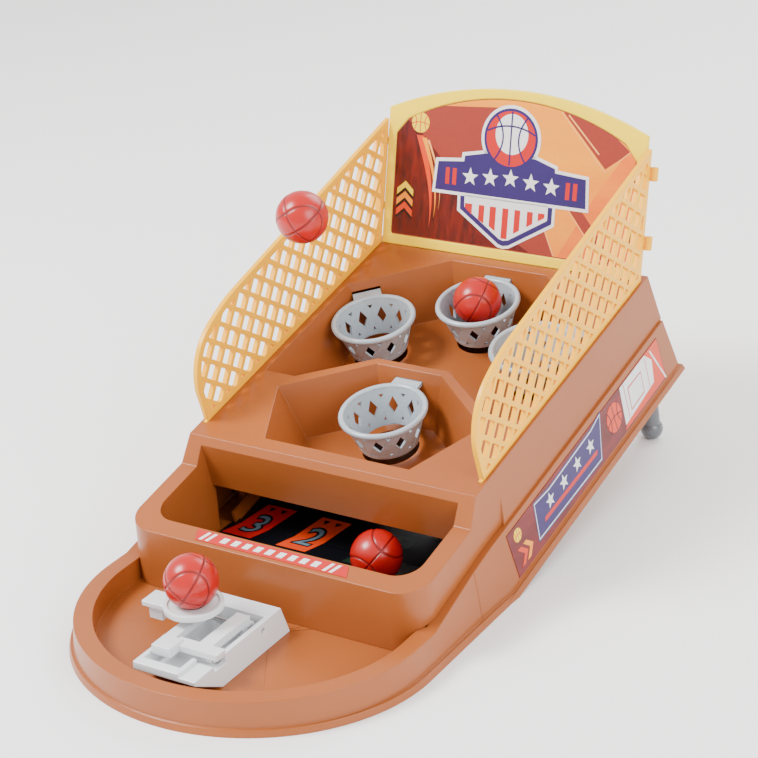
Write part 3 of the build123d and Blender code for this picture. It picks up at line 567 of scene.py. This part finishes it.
# %% The strap repeater
def turning_tree():
    """Geometry Nodes: copies of the input, turned about Z, a given number of times."""
    tree = bpy.data.node_groups.new("turn_about_axis", "GeometryNodeTree")
    face = tree.interface
    face.new_socket("Geometry", in_out="INPUT", socket_type="NodeSocketGeometry")
    face.new_socket("Count", in_out="INPUT", socket_type="NodeSocketInt")
    face.new_socket("Finish", in_out="INPUT", socket_type="NodeSocketMaterial")
    face.new_socket("Geometry", in_out="OUTPUT", socket_type="NodeSocketGeometry")
    given = node(tree, "NodeGroupInput")
    points = node(tree, "GeometryNodePoints")
    tree.links.new(given.outputs["Count"], points.inputs["Count"])
    index = node(tree, "GeometryNodeInputIndex")
    share = math_node(tree, "DIVIDE", index.outputs[0], given.outputs["Count"])
    angle = math_node(tree, "MULTIPLY", share, 2 * math.pi)
    turned = node(tree, "ShaderNodeCombineXYZ")
    tree.links.new(angle, turned.inputs["Z"])
    copies = node(tree, "GeometryNodeInstanceOnPoints")
    tree.links.new(points.outputs[0], copies.inputs["Points"])
    tree.links.new(given.outputs["Geometry"], copies.inputs["Instance"])
    tree.links.new(turned.outputs[0], copies.inputs["Rotation"])
    real = node(tree, "GeometryNodeRealizeInstances")
    tree.links.new(copies.outputs[0], real.inputs[0])
    paint = node(tree, "GeometryNodeSetMaterial")
    tree.links.new(real.outputs[0], paint.inputs["Geometry"])
    tree.links.new(given.outputs["Finish"], paint.inputs["Material"])
    result = node(tree, "NodeGroupOutput")
    tree.links.new(paint.outputs[0], result.inputs[0])
    return tree


def set_input(modifier, title, value):
    """Sets a modifier's input by its socket's identifier."""
    for item in modifier.node_group.interface.items_tree:
        if item.item_type == "SOCKET" and item.in_out == "INPUT" and item.name == title:
            modifier[item.identifier] = value


repeater = turning_tree()
print("tree", repeater.name, "has", len(repeater.nodes), "nodes")

# %% Basket sizes, level and round its own axis
HOOP_RADIUS = 22.3 * MM
RIM_TUBE = 1.5 * MM
HOOP_DROP = 5.9 * MM
BASKET_FOOT = 24.0 * MM
MOUTH_RADIUS = 20.8 * MM
FOOT_RADIUS = 14.9 * MM
STRAP_THICK = 1.4 * MM
STRAP_WIDTH = 5.5 * MM
STRAP_SINK = 0.04 * MM
STRAP_COUNT = 10
STRAP_STEPS = 14
FOOT_EMBED = 0.6 * MM
FOOT_RING = 2.4 * MM
COLLAR_HEIGHT = 2.6 * MM
TAB_REACH = {"basket_front": 28.4 * MM, "basket_centre": 25.6 * MM,
             "basket_left": 27.0 * MM, "basket_right": 27.0 * MM}
TAB_START = HOOP_RADIUS - 2.0 * MM
TAB_WIDTH = 15.0 * MM
TAB_THICK = 1.8 * MM


def cone_radius(z):
    """Radius of the basket's wall, in its middle, at a height."""
    share = (z + HOOP_DROP) / (HOOP_DROP - BASKET_FOOT)
    return MOUTH_RADIUS + (FOOT_RADIUS - MOUTH_RADIUS) * share - STRAP_THICK / 2


def strap(work, lean):
    """One flat strap that crosses the wall from the foot to the rim."""
    rings = []
    for step in range(STRAP_STEPS + 1):
        share = step / STRAP_STEPS
        z = -BASKET_FOOT + FOOT_EMBED + share * (BASKET_FOOT - HOOP_DROP - FOOT_EMBED)
        angle = lean * (share - 0.5) * 2 * math.pi / STRAP_COUNT
        middle = cone_radius(z) + lean * STRAP_SINK
        ring = []
        for across, out in ((-1, -1), (1, -1), (1, 1), (-1, 1)):
            radius = middle + out * STRAP_THICK / 2
            side = angle + across * STRAP_WIDTH / 2 / middle
            ring.append(work.verts.new((radius * math.cos(side), radius * math.sin(side), z)))
        rings.append(ring)
    for low, high in zip(rings, rings[1:]):
        for i in range(4):
            work.faces.new((low[i], low[(i + 1) % 4], high[(i + 1) % 4], high[i]))
    work.faces.new(rings[0][::-1])
    work.faces.new(rings[-1])


def lathe(work, profile, steps=96):
    """A closed ring from a closed profile of (radius, height) points."""
    rings = []
    for step in range(steps):
        angle = 2 * math.pi * step / steps
        rings.append([work.verts.new((r * math.cos(angle), r * math.sin(angle), z)) for r, z in profile])
    count = len(profile)
    for i, ring in enumerate(rings):
        after = rings[(i + 1) % steps]
        for j in range(count):
            work.faces.new((ring[j], ring[(j + 1) % count], after[(j + 1) % count], after[j]))


def rim_profile(radius, tube, height, points=14):
    """A round rim's section."""
    turns = [2 * math.pi * i / points for i in range(points)]
    return [(radius + tube * math.cos(t), height + tube * math.sin(t)) for t in turns]


# %% Woven wall, baked once
work = bmesh.new()
strap(work, 1)
strap(work, -1)
bmesh.ops.recalc_face_normals(work, faces=work.faces)
pair_mesh = bpy.data.meshes.new("strap_pair")
work.to_mesh(pair_mesh)
work.free()
woven = link_piece("woven_wall", pair_mesh)
repeat = woven.modifiers.new("repeat", "NODES")
repeat.node_group = repeater
set_input(repeat, "Count", STRAP_COUNT)
set_input(repeat, "Finish", pale_blue)
plain_mesh(woven, "woven_wall")
print("woven wall:", len(woven.data.polygons), "faces from", STRAP_COUNT, "pairs of straps")


# %% Baskets in place
def basket(name, x, y, turn):
    """A whole basket in the court's frame: rim, foot ring, woven wall and wall tab."""
    work = bmesh.new()
    work.from_mesh(woven.data)
    lathe(work, rim_profile(HOOP_RADIUS - RIM_TUBE, RIM_TUBE, -HOOP_DROP))
    foot_in = FOOT_RADIUS - STRAP_THICK
    foot_top = -BASKET_FOOT + FOOT_RING
    lathe(work, [(foot_in, -BASKET_FOOT), (FOOT_RADIUS, -BASKET_FOOT),
                 (cone_radius(foot_top) + STRAP_THICK / 2, foot_top),
                 (cone_radius(foot_top) - STRAP_THICK / 2, foot_top)])
    collar_low = -HOOP_DROP - COLLAR_HEIGHT
    collar = [(cone_radius(z) + out * STRAP_THICK / 2, z)
              for z, out in ((collar_low, -1), (collar_low, 1), (-HOOP_DROP, 1), (-HOOP_DROP, -1))]
    lathe(work, collar)
    reach = TAB_REACH[name]
    tab = bmesh.ops.create_cube(work, size=1.0)["verts"]
    grow = Matrix.Diagonal((reach - TAB_START, TAB_WIDTH, TAB_THICK, 1))
    place = Matrix.Translation(((reach + TAB_START) / 2, 0, -HOOP_DROP))
    bmesh.ops.transform(work, matrix=place @ grow, verts=tab)
    bmesh.ops.recalc_face_normals(work, faces=work.faces)
    put = court @ Matrix.Translation((x, y, 0)) @ Matrix.Rotation(math.radians(turn), 4, "Z")
    bmesh.ops.transform(work, matrix=put, verts=work.verts)
    mesh = bpy.data.meshes.new(name + "_woven")
    work.to_mesh(mesh)
    work.free()
    mesh.materials.clear()
    mesh.materials.append(pale_blue)
    mesh.polygons.foreach_set("use_smooth", [True] * len(mesh.polygons))
    mesh.set_sharp_from_angle(angle=math.radians(35))
    piece = link_piece(name + "_woven", mesh)
    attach(piece, "machine")
    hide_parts(name)


SIDE_TURN = 38.565
FRONT_HOOP_Y = 50.8 * MM
SIDE_HOOP_X = 46.7 * MM
SIDE_HOOP_Y = 120 * MM
basket("basket_front", 0, FRONT_HOOP_Y, 90)
basket("basket_centre", 0, CENTRE_HOOP_Y, 90)
basket("basket_left", -SIDE_HOOP_X, SIDE_HOOP_Y, 90 + SIDE_TURN)
basket("basket_right", SIDE_HOOP_X, SIDE_HOOP_Y, 90 - SIDE_TURN)
bpy.data.objects.remove(woven)
print("4 baskets in place")


# %% [markdown]
# ## Printed films
# Each film carries a picture in flat areas of ink. Every area is a very thin plate that
# stands a few hundredths of a millimetre above the one it is printed over, so the shapes
# stay sharp at any distance. The art is drawn flat in millimetres, across and up, and
# one matrix lays it on its film. There are no words: a plain banner takes their place.

# %% Drawing helpers
LAYER = 0.035


def disc(x, y, rx, ry=None, points=48):
    """Outline of a disc or an oval."""
    ry = rx if ry is None else ry
    turns = [2 * math.pi * i / points for i in range(points)]
    return [(x + rx * math.cos(t), y + ry * math.sin(t)) for t in turns]


def stroke(path, width):
    """Outline of a line of even width along a path."""
    left, right = [], []
    for i, point in enumerate(path):
        before = Vector(path[max(i - 1, 0)])
        after = Vector(path[min(i + 1, len(path) - 1)])
        along = (after - before).normalized()
        side = Vector((-along.y, along.x)) * width / 2
        left.append(tuple(Vector(point) + side))
        right.append(tuple(Vector(point) - side))
    return left + right[::-1]


def arc(x, y, radius, start, end, points=18, squash=1.0):
    """Points of an arc between two angles in degrees."""
    turns = [math.radians(start + (end - start) * i / points) for i in range(points + 1)]
    return [(x + radius * squash * math.cos(t), y + radius * math.sin(t)) for t in turns]


def star(x, y, radius, points=5):
    """Outline of a star with a point at its top."""
    outline = []
    for i in range(2 * points):
        reach = radius if i % 2 == 0 else radius * 0.42
        turn = math.pi / 2 + math.pi * i / points
        outline.append((x + reach * math.cos(turn), y + reach * math.sin(turn)))
    return outline


def printed(name, areas, place, base):
    """Thin ink plates as one piece. areas holds (outline, ink, layer), base is the film's face in mm."""
    work = bmesh.new()
    inks = []
    for outline, finish, layer in areas:
        if finish not in inks:
            inks.append(finish)
        top = (base + LAYER * layer) * MM
        low = (base - 0.02) * MM
        floor_ring = [work.verts.new((x * MM, y * MM, low)) for x, y in outline]
        roof_ring = [work.verts.new((x * MM, y * MM, top)) for x, y in outline]
        faces = [work.faces.new(roof_ring), work.faces.new(floor_ring[::-1])]
        for i in range(len(outline)):
            j = (i + 1) % len(outline)
            faces.append(work.faces.new((floor_ring[i], floor_ring[j], roof_ring[j], roof_ring[i])))
        bmesh.ops.recalc_face_normals(work, faces=faces)
        for face in faces:
            face.material_index = inks.index(finish)
    bmesh.ops.triangulate(work, faces=work.faces)
    bmesh.ops.transform(work, matrix=place, verts=work.verts)
    if place.determinant() < 0:
        bmesh.ops.reverse_faces(work, faces=work.faces)
    mesh = bpy.data.meshes.new(name)
    work.to_mesh(mesh)
    work.free()
    for finish in inks:
        mesh.materials.append(finish)
    piece = link_piece(name, mesh)
    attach(piece, "machine")
    print(name, len(areas), "areas of ink in", len(inks), "inks")
    return piece


def ball_sign(x, y, radius, layer, skin_ink, line_ink, line=0.9):
    """A drawn ball: disc, cross seams and two side seams."""
    areas = [(disc(x, y, radius), skin_ink, layer)]
    areas.append((stroke([(x, y - radius), (x, y + radius)], line), line_ink, layer + 1))
    areas.append((stroke(arc(x, y - 2.2 * radius, 2.25 * radius, 64, 116), line), line_ink, layer + 1))
    for side in (-1, 1):
        bow = [(x + side * (0.48 + 0.30 * (t / 8) ** 2) * radius, y + t / 8 * radius * 0.80)
               for t in range(-8, 9)]
        areas.append((stroke(bow, line), line_ink, layer + 1))
    return areas


# %% [markdown]
# The backboard's film has a brick-red ground, an amber floor that sweeps in from the
# right, and a shield with a ball over it. The top of the film follows the board's arch,
# so the arch is worked out from its chord and rise.

# %% Backboard film
ARCH_TOP = 84.3
ARCH_SIDE = 68.5
ARCH_HALF = 63.8
rise = ARCH_TOP - ARCH_SIDE
arch_radius = (ARCH_HALF ** 2 + rise ** 2) / (2 * rise)


def arch(u, inset=0.5):
    """Height of the film's top edge, less a margin."""
    return ARCH_TOP - arch_radius + math.sqrt(arch_radius ** 2 - u * u) - inset


def arch_run(start, end, steps=12):
    """Points of the top edge between two places across."""
    return [(u, arch(u)) for u in (start + (end - start) * i / steps for i in range(steps + 1))]


amber_field = [(28.2, 6.2), (70.0, 6.2), (70.0, 60.8), (64.2, 67.6)] + arch_run(62, -42) + [(-7.5, 79.6)]
far_field = [(30.0, 6.2), (70.0, 6.2), (70.0, 60.8), (66.0, 65.6), (49.0, 40.0)]
corner = [(27.8, arch(27.8) - 0.2), (53.5, 54.4), (67.0, 64.4)] + arch_run(61.5, 29)[1:]
band = [(35.3, 31.0), (42.8, 31.0), (64.0, 6.6), (56.5, 6.6)]
banner = [(-44.9, 32.9), (44.4, 32.9), (43.4, 47.9), (25.6, 49.2), (25.4, 51.4), (14.0, 55.0),
          (-15.4, 55.0), (-28.0, 52.4), (-28.2, 49.4), (-43.8, 47.9)]
banner_edge = [(-46.6, 31.2), (46.1, 31.2), (45.0, 49.5), (27.1, 50.8), (26.9, 52.8), (14.6, 56.6),
               (-15.9, 56.6), (-29.6, 54.0), (-29.8, 51.0), (-45.4, 49.6)]
shield_edge = [(-30.9, 33), (-30.6, 23.2), (-5.2, 6.8), (-1.8, 6.2), (1.8, 6.9), (27.2, 21.6),
               (27.2, 33)]
shield = [(-29.2, 33), (-28.9, 24.2), (-4.6, 8.4), (-1.8, 7.7), (1.4, 8.4), (25.6, 22.6), (25.6, 33)]
shield_in = [(-26.6, 32), (-26.3, 25.6), (-4.4, 11.2), (-1.8, 10.5), (1.2, 11.2), (23.0, 24.2),
             (23.0, 32)]

dark_field = [(-70.2, 6.2), (14.0, 6.2), (-6.0, 16.0), (-28.0, 36.0), (-57.0, 63.5), (-63.8, 67.6),
              (-70.2, 61.0)]
board_art = [(dark_field, ink_dark, 0.5), (amber_field, ink_amber, 1), (far_field, ink_orange, 1.5),
             (corner, ink_brick, 2), (band, ink_brick, 2),
             (stroke([(26.6, arch(26.6) - 0.4), (53.5, 53.0), (68.6, 66.0)], 0.6), ink_peach, 3),
             (stroke([(30.8, arch(30.8) - 0.6), (49.5, 61.5)], 0.8), ink_peach, 4),
             (stroke([(34.6, 31.0), (56.0, 6.4)], 0.6), ink_peach, 3),
             (stroke([(-7.3, 79.4), (28.0, 6.4)], 0.7), ink_peach, 2),
             (shield_edge, ink_white, 5), (shield, ink_navy, 6), (shield_in, ink_white, 7)]
stripes = [(-26.0, -21.6, 21.9, 25.2), (-17.6, -14.2, 18.0, 19.9), (-10.9, -7.2, 14.9, 17.2),
           (-3.4, 0.2, 11.6, 11.6), (3.8, 7.2, 14.9, 17.0), (11.2, 14.6, 19.4, 21.4),
           (17.6, 21.4, 23.2, 25.4)]
for left, right, low_left, low_right in stripes:
    lows = (max(low_left, low_right), min(low_left, low_right)) if left < -3.4 else (low_left, low_right)
    board_art.append(([(left, lows[0]), (right, lows[1]), (right, 27.6), (left, 27.6)], ink_red, 8))
board_art += [(disc(-1.4, 64.0, 17.5), ink_white, 7), (banner_edge, ink_white, 7), (banner, ink_navy, 8),
              (disc(-1.4, 64.0, 15.8), ink_navy, 9), (disc(-1.4, 64.0, 14.4), ink_red, 10),
              (disc(-1.0, 66.4, 9.6, 10.6), ink_white, 11)]
seams = [stroke([(-1.4, 50.2), (-1.4, 78.2)], 0.9), stroke(arc(-1.4, 41.0, 29.6, 62, 118), 0.9)]
for side in (-1, 1):
    bow = [(-1.4 + side * (4.6 + 5.4 * (t / 10) ** 2), 64.0 - t * 1.28) for t in range(-9, 11)]
    seams.append(stroke(bow, 0.9))
board_art += [(seam, ink_navy, 12) for seam in seams]

# %% [markdown]
# In place of words the banner carries five plain stars between two pairs of bars. The
# left of the film has a thrown ball with its trail, and three chevrons.

# %% Banner, thrown ball and chevrons
for i in range(5):
    board_art.append((star(-24 + 12 * i, 41.6 + 0.9 * (2 - abs(i - 2)), 5.0), ink_white, 9.5))
for side in (-1, 1):
    for step in (0, 1):
        x = side * (33.5 + 4.2 * step)
        bar = [(x - 1.2, 36.4), (x + 1.2, 36.4), (x + 1.2, 45.2), (x - 1.2, 45.2)]
        board_art.append((bar, ink_red, 9.5))
board_art += ball_sign(-56.3, 67.0, 5.4, 3, ink_lemon, ink_ball, 0.5)
TRAIL_STEPS = 14
trails = ((58, 4.6, ink_ball), (50, 2.8, ink_amber), (43, 1.4, ink_peach))
for index, (reach, thick, finish) in enumerate(trails):
    trail = [(-56.0 + index * 2.6 + 9.0 * math.sin(t / TRAIL_STEPS * 1.9),
              60.2 - index * 1.0 - t / TRAIL_STEPS * reach * 0.84) for t in range(TRAIL_STEPS + 1)]
    left = [(x - thick / 2 * (1 - t / TRAIL_STEPS), y) for t, (x, y) in enumerate(trail)]
    right = [(x + thick / 2 * (1 - t / TRAIL_STEPS), y) for t, (x, y) in enumerate(trail[:-1])]
    board_art.append((left + right[::-1], finish, 2 + index))
for step, finish in enumerate((ink_ball, ink_amber, ink_lemon)):
    base_v = 16.0 + 5.6 * step
    for drop, shade_ink, layer in ((-1.6, ink_black, 3), (0, finish, 4)):
        v = base_v + drop
        chevron = [(-68.3, v), (-63.3, v + 4.4), (-58.3, v), (-58.3, v + 3.4), (-63.3, v + 7.8),
                   (-68.3, v + 3.4)]
        board_art.append((chevron, shade_ink, layer))
FILM_FACE = 0.5
upright = Matrix.Rotation(math.radians(90), 4, "X")
printed("backboard_print", board_art, board @ upright, -FILM_FACE)

# %% [markdown]
# The side films lie on the sloping lower wall. Their art runs from the player's end to
# the back: chevrons, a plain banner, a ball, a drawn backboard and rear slashes. The left
# film mirrors the right one.

# %% Side films
WALL_FLARE = 0.137
WALL_HALF = 80.62
FILM_THICK = 0.3


def side_place(side):
    """Matrix from film art (along, up) to the side wall of the court frame."""
    lean = Vector((-WALL_FLARE * side, 0, 1)).normalized()
    along = Vector((0, 1, 0))
    out = Vector((side, 0, WALL_FLARE)).normalized()
    face = Matrix((along, lean, out)).transposed().to_4x4()
    start = Vector((side * WALL_HALF, 0, 0)) * MM
    return court @ Matrix.Translation(start) @ face


def wide_banner(grow):
    """Outline of the side film's banner, grown by a border."""
    return [(34.5 - grow, -50.5 - grow), (100.5 + grow * 0.6, -52.2 - grow),
            (109.0 + grow, -32.0 + grow), (98.0, -34.2 + grow), (52.0, -35.2 + grow),
            (38.0 - grow * 0.6, -33.6 + grow)]


side_art = [([(128, -54.8), (176.5, -54.8), (176.5, -31.6), (150, -31.6)], ink_ball, 1),
            (wide_banner(1.3), ink_sky, 2), (wide_banner(0.6), ink_white, 3),
            (wide_banner(0.0), ink_navy, 4),
            ([(42, -46.6), (98, -47.8), (99.4, -45.6), (43, -44.4)], ink_red, 5)]
for i in range(4):
    side_art.append((star(51 + 14.5 * i, -40.2, 4.2), ink_white, 5))
side_art += ball_sign(121.0, -41.8, 7.6, 3, ink_ball, ink_maroon, 0.7)
side_art += [([(132.2, -31.9), (161.5, -31.9), (167.3, -38.3), (164.0, -49.7), (129.4, -52.2)],
              ink_white, 5),
             (stroke([(136.0, -32.4), (134.4, -51.4)], 0.5), ink_red, 6),
             (stroke([(161.0, -32.6), (159.4, -49.8)], 0.5), ink_red, 6),
             (stroke([(139.3, -36.8), (154.3, -37.0), (153.1, -48.2), (137.9, -48.6),
                      (139.3, -36.8)], 0.9), ink_red, 6)]
for i in range(5):
    y = 168.4 + 1.7 * i
    v = -33.0 - 4.2 * i
    slash = [(y - 1.6, v), (y - 0.4, v), (y + 1.6, v - 5.2), (y + 0.4, v - 5.2)]
    side_art.append((slash, ink_white, 6))
side_art += ball_sign(19.0, -36.6, 3.4, 3, ink_lemon, ink_ball, 0.4)
for step, finish in enumerate((ink_ball, ink_amber)):
    u = 15.5 + 5.4 * step
    side_art.append(([(u, -52.8), (u + 4.6, -48.0), (u, -43.2), (u + 3.2, -43.2), (u + 7.8, -48.0),
                      (u + 3.2, -52.8)], finish, 3))
for side, label in ((1, "right"), (-1, "left")):
    printed("side_print_" + label, side_art, side_place(side), FILM_THICK)

# %% [markdown]
# The strip on the trough's rim is red. It has two slanted white bars at each end and a
# row of short blocks between them. The film under the curtain is black, with the scores
# 3, 2 and 1 on leaning blocks.

# %% Rim strip and score film
RIM_DEPTH = 11.5
BAR_WIDTH = 1.7
BAR_LEAN = 1.1
strip_art = []
for x in (-37.5, -33.9, 31.0, 34.6):
    bar = [(x - BAR_LEAN, -56.6), (x + BAR_WIDTH - BAR_LEAN, -56.6), (x + BAR_WIDTH + BAR_LEAN, -51.0),
           (x + BAR_LEAN, -51.0)]
    strip_art.append((bar, ink_white, 2))
for i in range(9):
    x = -26.0 + 6.3 * i
    block = [(x - 1.5, -55.6), (x + 1.9, -55.6), (x + 2.9, -52.0), (x - 0.5, -52.0)]
    strip_art.append((block, ink_white, 2))
printed("rim_print", strip_art, court, -RIM_DEPTH + FILM_THICK)

DIGIT_LEAN = 0.28
DIGIT_SIZE = 21


def digit(text, size):
    """A digit as a flat mesh, from the built-in font."""
    curve = bpy.data.curves.new("digit", "FONT")
    curve.body = text
    curve.size = size
    curve.align_x = "CENTER"
    curve.align_y = "CENTER"
    holder = link_piece("digit", curve)
    evaluated = holder.evaluated_get(bpy.context.evaluated_depsgraph_get())
    mesh = bpy.data.meshes.new_from_object(evaluated)
    bpy.data.objects.remove(holder)
    return mesh


def printed_digits(name, digits, place):
    """Digits as thin plates: each is (text, x, y, size, ink, height in mm, fatten in mm)."""
    work = bmesh.new()
    inks = []
    for text, x, y, size, finish, height, fatten in digits:
        if finish not in inks:
            inks.append(finish)
        flat = digit(text, size)
        before = set(work.verts)
        known = set(work.faces)
        work.from_mesh(flat)
        fresh = [v for v in work.verts if v not in before]
        bmesh.ops.remove_doubles(work, verts=fresh, dist=1e-5)
        faces = [f for f in work.faces if f not in known]
        if fatten:
            rim = {v for f in faces for v in f.verts}
            pushes = {}
            for v in rim:
                outer = [e for e in v.link_edges if len(e.link_faces) == 1]
                push = Vector((0, 0, 0))
                for e in outer:
                    along = (e.verts[1].co - e.verts[0].co).normalized()
                    side = Vector((along.y, -along.x, 0))
                    if side.dot(e.link_faces[0].calc_center_median() - v.co) > 0:
                        side.negate()
                    push += side
                pushes[v] = push.normalized() * fatten if push.length > 1e-6 else push
            for v, push in pushes.items():
                v.co += push
        grown = bmesh.ops.extrude_face_region(work, geom=faces)["geom"]
        raised = [v for v in grown if isinstance(v, bmesh.types.BMVert)]
        for v in raised:
            v.co.z += height
        for v in {v for f in work.faces if f not in known for v in f.verts}:
            lean = DIGIT_LEAN * v.co.y
            v.co = Vector(((v.co.x + x + lean) * MM, (v.co.y + y) * MM, v.co.z * MM))
        new_faces = [f for f in work.faces if f not in known]
        bmesh.ops.recalc_face_normals(work, faces=new_faces)
        for f in new_faces:
            f.material_index = inks.index(finish)
    bmesh.ops.transform(work, matrix=place, verts=work.verts)
    mesh = bpy.data.meshes.new(name)
    work.to_mesh(mesh)
    work.free()
    for finish in inks:
        mesh.materials.append(finish)
    piece = link_piece(name, mesh)
    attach(piece, "machine")
    print(name, len(digits), "digit plates")
    return piece


flat_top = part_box("score_sticker")[1].z
ramp_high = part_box("ramp_sticker")[1]
ramp_back = ramp_high.y - FILM_THICK * MM * math.sin(COURT_TILT)
bend_y = ramp_back - (ramp_high.z - flat_top) / math.tan(COURT_TILT)
bend = Matrix.Translation((0, bend_y, flat_top))


def fold_up_ramp(piece):
    """Folds level art along the line where the well's floor turns into the ramp."""
    work = bmesh.new()
    work.from_mesh(piece.data)
    everything = list(work.verts) + list(work.edges) + list(work.faces)
    bmesh.ops.bisect_plane(work, geom=everything, plane_co=(0, 0, 0), plane_no=(0, 1, 0), dist=1e-7)
    for v in work.verts:
        v.co = bend @ (tilt @ v.co if v.co.y > 0 else v.co)
    work.to_mesh(piece.data)
    work.free()


BLOCK_SLANT = 0.34
BLOCK_HALF = 8.6
BLOCK_FRONT = -11.0
BLOCK_BACK = 17.5
score_art = [([(-68.5, -3.0), (68.5, -3.0), (68.5, 3.0), (-68.5, 3.0)], ink_black, 1)]
digits = []
for x, finish, text in ((-57.0, ink_red, "3"), (-24.5, ink_ball, "2"), (14.0, ink_green, "1")):
    ends = [(x + BLOCK_SLANT * y, y) for y in (BLOCK_FRONT, BLOCK_BACK)]
    block = [(ends[0][0] - BLOCK_HALF, ends[0][1]), (ends[0][0] + BLOCK_HALF, ends[0][1]),
             (ends[1][0] + BLOCK_HALF, ends[1][1]), (ends[1][0] - BLOCK_HALF, ends[1][1])]
    score_art.append((block, finish, 2))
    for side in (-1, 1):
        tip = (x + side * 3.4 + BLOCK_SLANT * 12.4, 12.4)
        score_art.append(([tip, (tip[0] + 2.7, 15.6), (tip[0] - 0.9, 15.6)], ink_black, 3))
    digits.append((text, x + 0.2, 0.8, DIGIT_SIZE, ink_black, 0.12, 1.2))
    digits.append((text, x + 0.2, 0.8, DIGIT_SIZE, ink_steel_blue, 0.16, 0.0))
fold_up_ramp(printed("score_print", score_art, Matrix.Identity(4), 0.0))
fold_up_ramp(printed_digits("score_digits", digits, Matrix.Identity(4)))
